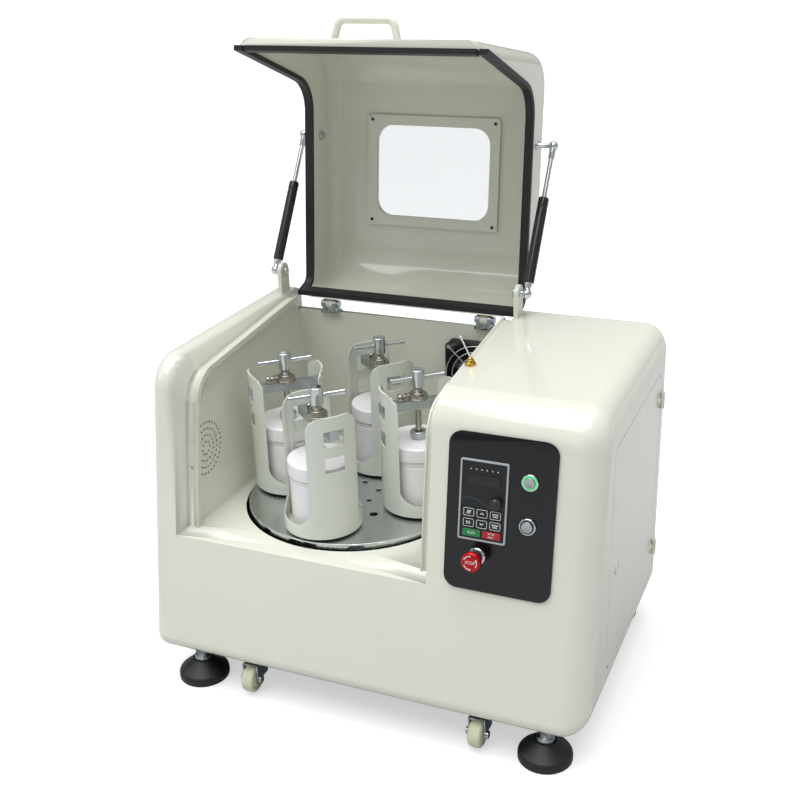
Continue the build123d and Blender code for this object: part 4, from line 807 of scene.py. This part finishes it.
# Control panel
@dataclass
class ControlPanel:
    """Sloping panel with keypad, dial, push buttons and emergency stop."""
    lean: float = 9.0
    plate: float = 3.0
    keypad_at: tuple[float, float] = (-25.0, 20.0)
    button_u: float = 42.0
    button_v: tuple[float, float] = (58.0, -7.0)
    stop_at: tuple[float, float] = (-31.0, -65.0)
    knob_at: tuple[float, float] = (-5.0, 20.0)
    face: Matrix = field(init=False)

    def __post_init__(self) -> None:
        """Find the panel's face from its CAD plate."""
        turn = Matrix.Rotation(radians(90 - self.lean), 4, "X")
        middle = corner_mid("control_panel")
        self.face = Matrix.Translation(middle) @ turn @ Matrix.Translation(
            (0, 0, self.plate * MM / 2))

    def at(self, u: float, v: float, w: float = 0.0) -> Matrix:
        """Return a place on the panel's face, in millimetres across, up and out."""
        return self.face @ Matrix.Translation(Vector((u, v, w)) * MM)

    def build(self) -> None:
        """Model the panel's fittings."""
        carry("control_panel", PANEL_FACE, "root")
        carry_parts("keypad", "root", self.keypad_part)
        self.keypad_face()
        self.display()
        self.key_marks()
        self.knob()
        self.buttons()
        self.stop()

    def keypad_part(self, size: Vector, middle: Vector) -> tuple[str, Finish] | None:
        """Tell the keys apart; the keypad's rim and face are modelled."""
        if size.x > 0.05:
            return None
        if size.x > 0.02:
            right = middle.x > self.at(*self.keypad_at).translation.x
            return ("stop_key", RED_KEY) if right else ("run_key", GREEN_KEY)
        return "arrow_keys", BLACK_ABS

    def keypad_face(self) -> None:
        """Model the keypad's raised grey rim and its sunk black face."""
        u, v = self.keypad_at
        rim = bevelled(self.outline(72, 121, 2.6, 4.0, 3.0), 0.5 * MM, 2)
        finish_piece(place(rim, self.at(u, v)), "keypad_rim", GREY_ABS, "root")
        face = block((67, 116, 3), (0, 0, 1.5), 0.4, 1)
        finish_piece(place(face, self.at(u, v)), "keypad_plate", BLACK_ABS, "root")

    def display(self) -> None:
        """Model the dark display window, its lamps and the printed line below it."""
        u, v = self.keypad_at
        window = block((50, 15, 1.0), (0, 0, 0.3), 0.3, 2)
        finish_piece(place(window, self.at(u, v + 31, 3)), "display_window", SMOKED_ACRYLIC,
                     "root")
        lamps = [place(turned([(0.9, 0), (0.9, 0.25), (0.5, 0.4)], 12),
                       self.at(u - 20 + 8 * i, v + 46.5, 3)) for i in range(6)]
        finish_piece(join(lamps), "display_lamps", WHITE_INK, "root")
        sweep = wire([(-32.5, 1), (-22, 4), (-8, 2), (4, -6), (16, -10.6),
                      (32.5, -8.4)], 0.3)
        finish_piece(place(sweep, self.at(u, v, 3.1)), "printed_sweep", BLUE_INK, "root")

    def key_marks(self) -> None:
        """Model the keys' printed outlines, arrows and words."""
        u, v = self.keypad_at
        top = 4.62
        marks = []
        for column in (-1, 0, 1):
            for row in (-18, -34):
                outline = self.outline(16.2, 12.2, 0.7, 0.12, 2.2)
                marks.append(place(outline, self.at(u + column * 20, v + row, top)))
        for row, turn in ((-18, 0.0), (-34, pi)):
            spin = Matrix.Rotation(turn, 4, "Z")
            marks.append(place(self.chevron(2.6), self.at(u, v + row, top) @ spin))
        for shift in (-2.2, 1.4):
            spin = Matrix.Rotation(-pi / 2, 4, "Z")
            marks.append(place(self.chevron(2.3), self.at(u - 20 + shift, v - 34, top) @ spin))
        dial = self.outline(5.6, 5.6, 0.9, 0.12, 2.7)
        marks.append(place(dial, self.at(u - 20, v - 18, top)))
        for length, turn in ((9.0, 0.6), (3.6, 0.0)):
            stroke = block((length, 0.9, 0.12), (0, 0, 0.06), 0)
            marks.append(place(stroke, self.at(u - 20, v - 18, top)
                               @ Matrix.Rotation(turn, 4, "Z")))
        for row in (-18, -34):
            for rise, length in ((1.7, 10.0), (-1.7, 7.6)):
                for step in range(4):
                    stroke = block((length / 5, 2.0, 0.12), (0, 0, 0.06), 0)
                    shift = (step - 1.5) * length / 4
                    marks.append(place(stroke, self.at(u + 20 + shift, v + row + rise, top)))
        finish_piece(join(marks), "key_prints", WHITE_INK, "root")
        for word, side, size, rise in (("RUN", -1, 5.4, 0.0), ("STOP", 1, 4.4, 2.1),
                                       ("RESET", 1, 3.6, -2.5)):
            print_ = place(lettering(word, size, 0.12),
                           self.at(u + side * 15, v - 49 + rise, top))
            finish_piece(print_, f"key_word_{word.lower()}", WHITE_INK, "root")

    def outline(self, width: float, height: float, wide: float, thick: float,
                corner: float) -> bpy.types.Object:
        """Model a flat frame: a plate with rounded corners, inset, opened and extruded.

        Args:
            width: outer width in millimetres.
            height: outer height.
            wide: width of the frame's strip.
            thick: thickness.
            corner: outer corner radius.

        Returns:
            The closed frame, standing on the ground plane.
        """
        bpy.ops.mesh.primitive_plane_add(size=1, location=(0, 0, 0))
        piece = pick(bpy.context.object)
        piece.scale = (width * MM, height * MM, 1)
        apply_place(piece)
        bpy.ops.object.mode_set(mode="EDIT")
        bpy.ops.mesh.select_all(action="SELECT")
        bpy.ops.mesh.bevel(offset=corner * MM, segments=6, affect="VERTICES")
        bpy.ops.mesh.select_all(action="SELECT")
        bpy.ops.mesh.inset(thickness=wide * MM, depth=0)
        bpy.ops.mesh.delete(type="FACE")
        bpy.ops.mesh.select_all(action="SELECT")
        bpy.ops.mesh.extrude_region_move(TRANSFORM_OT_translate={"value": (0, 0, thick * MM)})
        bpy.ops.object.mode_set(mode="OBJECT")
        recalculate(piece)
        return piece

    def chevron(self, reach: float) -> bpy.types.Object:
        """Model a printed chevron that points up, from two slanted strokes."""
        strokes = []
        for hand in (-1, 1):
            stroke = block((reach * 1.5, 1.3, 0.12), (0, 0, 0.06), 0)
            turn = Matrix.Rotation(-hand * pi / 4, 4, "Z")
            strokes.append(place(stroke, Matrix.Translation((hand * reach * 0.45 * MM, 0, 0))
                                 @ turn))
        return join(strokes)

    def knob(self) -> None:
        """Model the speed dial with its grip flutes and pointer line."""
        steps = [(7.9, 0.3), (7.9, 2.0), (8.5, 2.4), (8.4, 8.0), (7.4, 9.0), (6.4, 9.2),
                 (6.1, 8.9), (5.2, 8.9), (4.9, 9.2), (4.0, 9.2), (3.7, 8.9), (2.4, 8.9),
                 (2.1, 9.2), (1.0, 9.2)]
        knob = knurled(turned(steps, KNURLS * 2), 8.2, 0.965)
        at = self.at(*self.knob_at, 3)
        finish_piece(place(knob, at), "speed_dial", KNOB_ABS, "knob", ["speed_knob"], 25)
        line = place(block((0.8, 2.4, 0.2), (0, 7.2, 9.1), 0.05, 1), at)
        finish_piece(line, "dial_pointer", WHITE_INK, "knob")

    def buttons(self) -> None:
        """Model the push buttons' rings and caps."""
        carry("button_bezels", CHROME, "root")
        for name, v, light in (("upper", self.button_v[0], GREEN_LIGHT),
                               ("lower", self.button_v[1], DARK_LIGHT)):
            ring = turned([(10.5, 3.9), (10.5, 4.2), (9.9, 4.45), (9.0, 4.45), (8.5, 4.2),
                           (8.5, 3.9)], 64, bored=True)
            finish_piece(place(ring, self.at(self.button_u, v)), f"light_ring_{name}", light,
                         "root")
            cap = turned([(7.6, 3.3), (8.0, 3.6), (8.0, 5.9), (7.7, 6.2), (7.2, 6.3), (5, 6.05),
                          (2, 5.85), (1, 5.82)], 64)
            finish_piece(place(cap, self.at(self.button_u, v)), f"dished_cap_{name}",
                         BRUSHED_STEEL, f"button_{name}", [f"button_cap_{name}"])

    def stop(self) -> None:
        """Model the emergency stop's head with its word and turning arrows."""
        carry("stop_base", CHROME, "root")
        start = 19.0
        head = turned([(12, 0), (15, 3), (15, 7), (14.4, 9), (13, 10.4), (11, 11), (4, 11.2)], 64)
        at = self.at(*self.stop_at, start)
        finish_piece(place(head, at), "stop_mushroom", RED_ANODISED, "stop_button",
                     ["stop_head"], 40)
        word = place(lettering("STOP", 6.4, 0.2), self.at(*self.stop_at, start + 11.3))
        finish_piece(word, "stop_word", WHITE_INK, "stop_button")
        arcs = [place(self.turning_arrow(), self.at(*self.stop_at, start + 11.1)
                      @ Matrix.Rotation(2 * pi * i / 3 + 0.5, 4, "Z")) for i in range(3)]
        finish_piece(join(arcs), "stop_arrows", WHITE_INK, "stop_button")

    def turning_arrow(self) -> bpy.types.Object:
        """Model one curved arrow around the stop head by spinning a short stroke."""
        bpy.ops.mesh.primitive_plane_add(size=1, location=(10.0 * MM, 0, 0.1 * MM),
                                         rotation=(pi / 2, 0, 0))
        arc = pick(bpy.context.object)
        arc.scale = (1.3 * MM, 0.3 * MM, 1)
        apply_place(arc)
        bpy.ops.object.mode_set(mode="EDIT")
        bpy.ops.mesh.select_all(action="SELECT")
        bpy.ops.mesh.spin(steps=12, angle=radians(62), center=(0, 0, 0), axis=(0, 0, 1))
        bpy.ops.object.mode_set(mode="OBJECT")
        head = turned([(2.0, 0), (2.0, 0.3)], 3)
        place(head, Matrix.Translation((10.0 * MM, 0, -0.05 * MM)))
        piece = join([arc, head])
        recalculate(piece)
        return piece


# Camera, floor and light
@dataclass
class Studio:
    """Camera at the photograph's angle, pale floor and soft light.

    The floor's lift is the glow that only the camera sees, so that it stays white but bounces
    little light up onto the sides.
    """
    eye: tuple[float, float, float] = (0.6918, -1.6115, 1.1910)
    focal_px: float = 1176.9
    frame_px: float = 800.0
    disc_middle: tuple[float, float] = (-0.104, 0.0)
    floor_lift: float = 0.95
    veil_strength: float = 2.5

    def build(self) -> None:
        """Set up the camera, floor and lights."""
        bpy.context.scene.view_settings.view_transform = "Standard"
        self.camera()
        self.floor()
        self.lights()

    def camera(self) -> None:
        """Place the camera where the photograph's edges put it."""
        shift = MID - Vector((*self.disc_middle, 0))
        right = Vector((0.9201, 0.3907, -0.0290)).normalized()
        forward = Vector((-0.3711, 0.8453, -0.3843))
        back = -(forward - right * forward.dot(right)).normalized()
        up = back.cross(right)
        turn = Matrix((right, up, back)).transposed().to_4x4()
        lens = bpy.data.cameras.new("photo_camera")
        lens.sensor_width = 36.0
        lens.lens = self.focal_px / self.frame_px * lens.sensor_width
        camera = bpy.data.objects.new("photo_camera", lens)
        camera.matrix_world = Matrix.Translation(Vector(self.eye) + shift) @ turn
        bpy.context.scene.collection.objects.link(camera)
        bpy.context.scene.camera = camera

    def floor(self) -> None:
        """Lay a wide pale floor, with a glow that only the camera sees."""
        deselect()
        bpy.ops.mesh.primitive_plane_add(size=90, location=(0, 0, 0))
        floor = bpy.context.object
        floor.name = "floor"
        paper = Finish("pale_paper_floor", "enamel", "C6C6C6", "C4C4C4", 900, (0.7, 0.8), 5, 0.01,
                       glow=self.floor_lift).material()
        seen = add_node(paper.node_tree, "ShaderNodeLightPath")
        lift = add_node(paper.node_tree, "ShaderNodeMapRange",
                        links={"Value": seen.outputs["Is Camera Ray"]},
                        **{"To Max": self.floor_lift})
        shader = paper.node_tree.nodes["Principled BSDF"]
        paper.node_tree.links.new(lift.outputs["Result"], shader.inputs["Emission Strength"])
        floor.data.materials.append(paper)

    def lights(self) -> None:
        """Hang soft boxes around and a wide veil of light above, under a pale sky."""
        world = bpy.context.scene.world or bpy.data.worlds.new("studio")
        bpy.context.scene.world = world
        world.use_nodes = True
        self.sky(world.node_tree)
        for name, spot, size, power in (("top_box", (0.5, 0.3, 2.6), 1.5, 8),
                                        ("left_box", (-2.4, -1.2, 1.7), 1.3, 6),
                                        ("right_box", (2.6, 0.2, 1.5), 1.5, 1),
                                        ("front_box", (0.2, -3.2, 1.6), 1.4, 3)):
            light = bpy.data.lights.new(name, "AREA")
            light.size = size
            light.energy = power
            lamp = bpy.data.objects.new(name, light)
            lamp.location = spot
            aim = Vector((0, 0, 0.4)) - lamp.location
            lamp.rotation_euler = aim.to_track_quat("-Z", "Y").to_euler()
            bpy.context.scene.collection.objects.link(lamp)
        veil = bpy.data.lights.new("overhead_veil", "SUN")
        veil.energy = self.veil_strength
        veil.angle = radians(60)
        veil.color = (0.95, 0.98, 1.0)
        lamp = bpy.data.objects.new("overhead_veil", veil)
        lamp.rotation_euler = Vector((0.12, 0.2, -1)).to_track_quat("-Z", "Y").to_euler()
        bpy.context.scene.collection.objects.link(lamp)

    def sky(self, tree: bpy.types.NodeTree) -> None:
        """Draw a studio sky that is bright above and dim near the horizon."""
        where = add_node(tree, "ShaderNodeTexCoord")
        height = add_node(tree, "ShaderNodeSeparateXYZ",
                          links={"Vector": where.outputs["Generated"]})
        bands = add_node(tree, "ShaderNodeValToRGB", links={"Fac": height.outputs["Z"]})
        dim, mid, bright = linear("8D9498"), linear("C9D0D2"), linear("FFFFFF")
        bands.color_ramp.elements[0].color = dim
        bands.color_ramp.elements[1].color = bright
        bands.color_ramp.elements[1].position = 0.75
        bands.color_ramp.elements.new(0.3).color = mid
        tree.links.new(bands.outputs["Color"], tree.nodes["Background"].inputs["Color"])
        tree.nodes["Background"].inputs["Strength"].default_value = 0.54


def main() -> None:
    """Build every sub-assembly in order."""
    logging.basicConfig(level=logging.INFO, format="%(message)s")
    for maker in (Studio(), Cabinet(), Undercarriage(), Turntable(), Lid(), ControlPanel()):
        log.info("building %s", type(maker).__name__)
        maker.build()
    deselect()


if __name__ == "__main__":
    main()
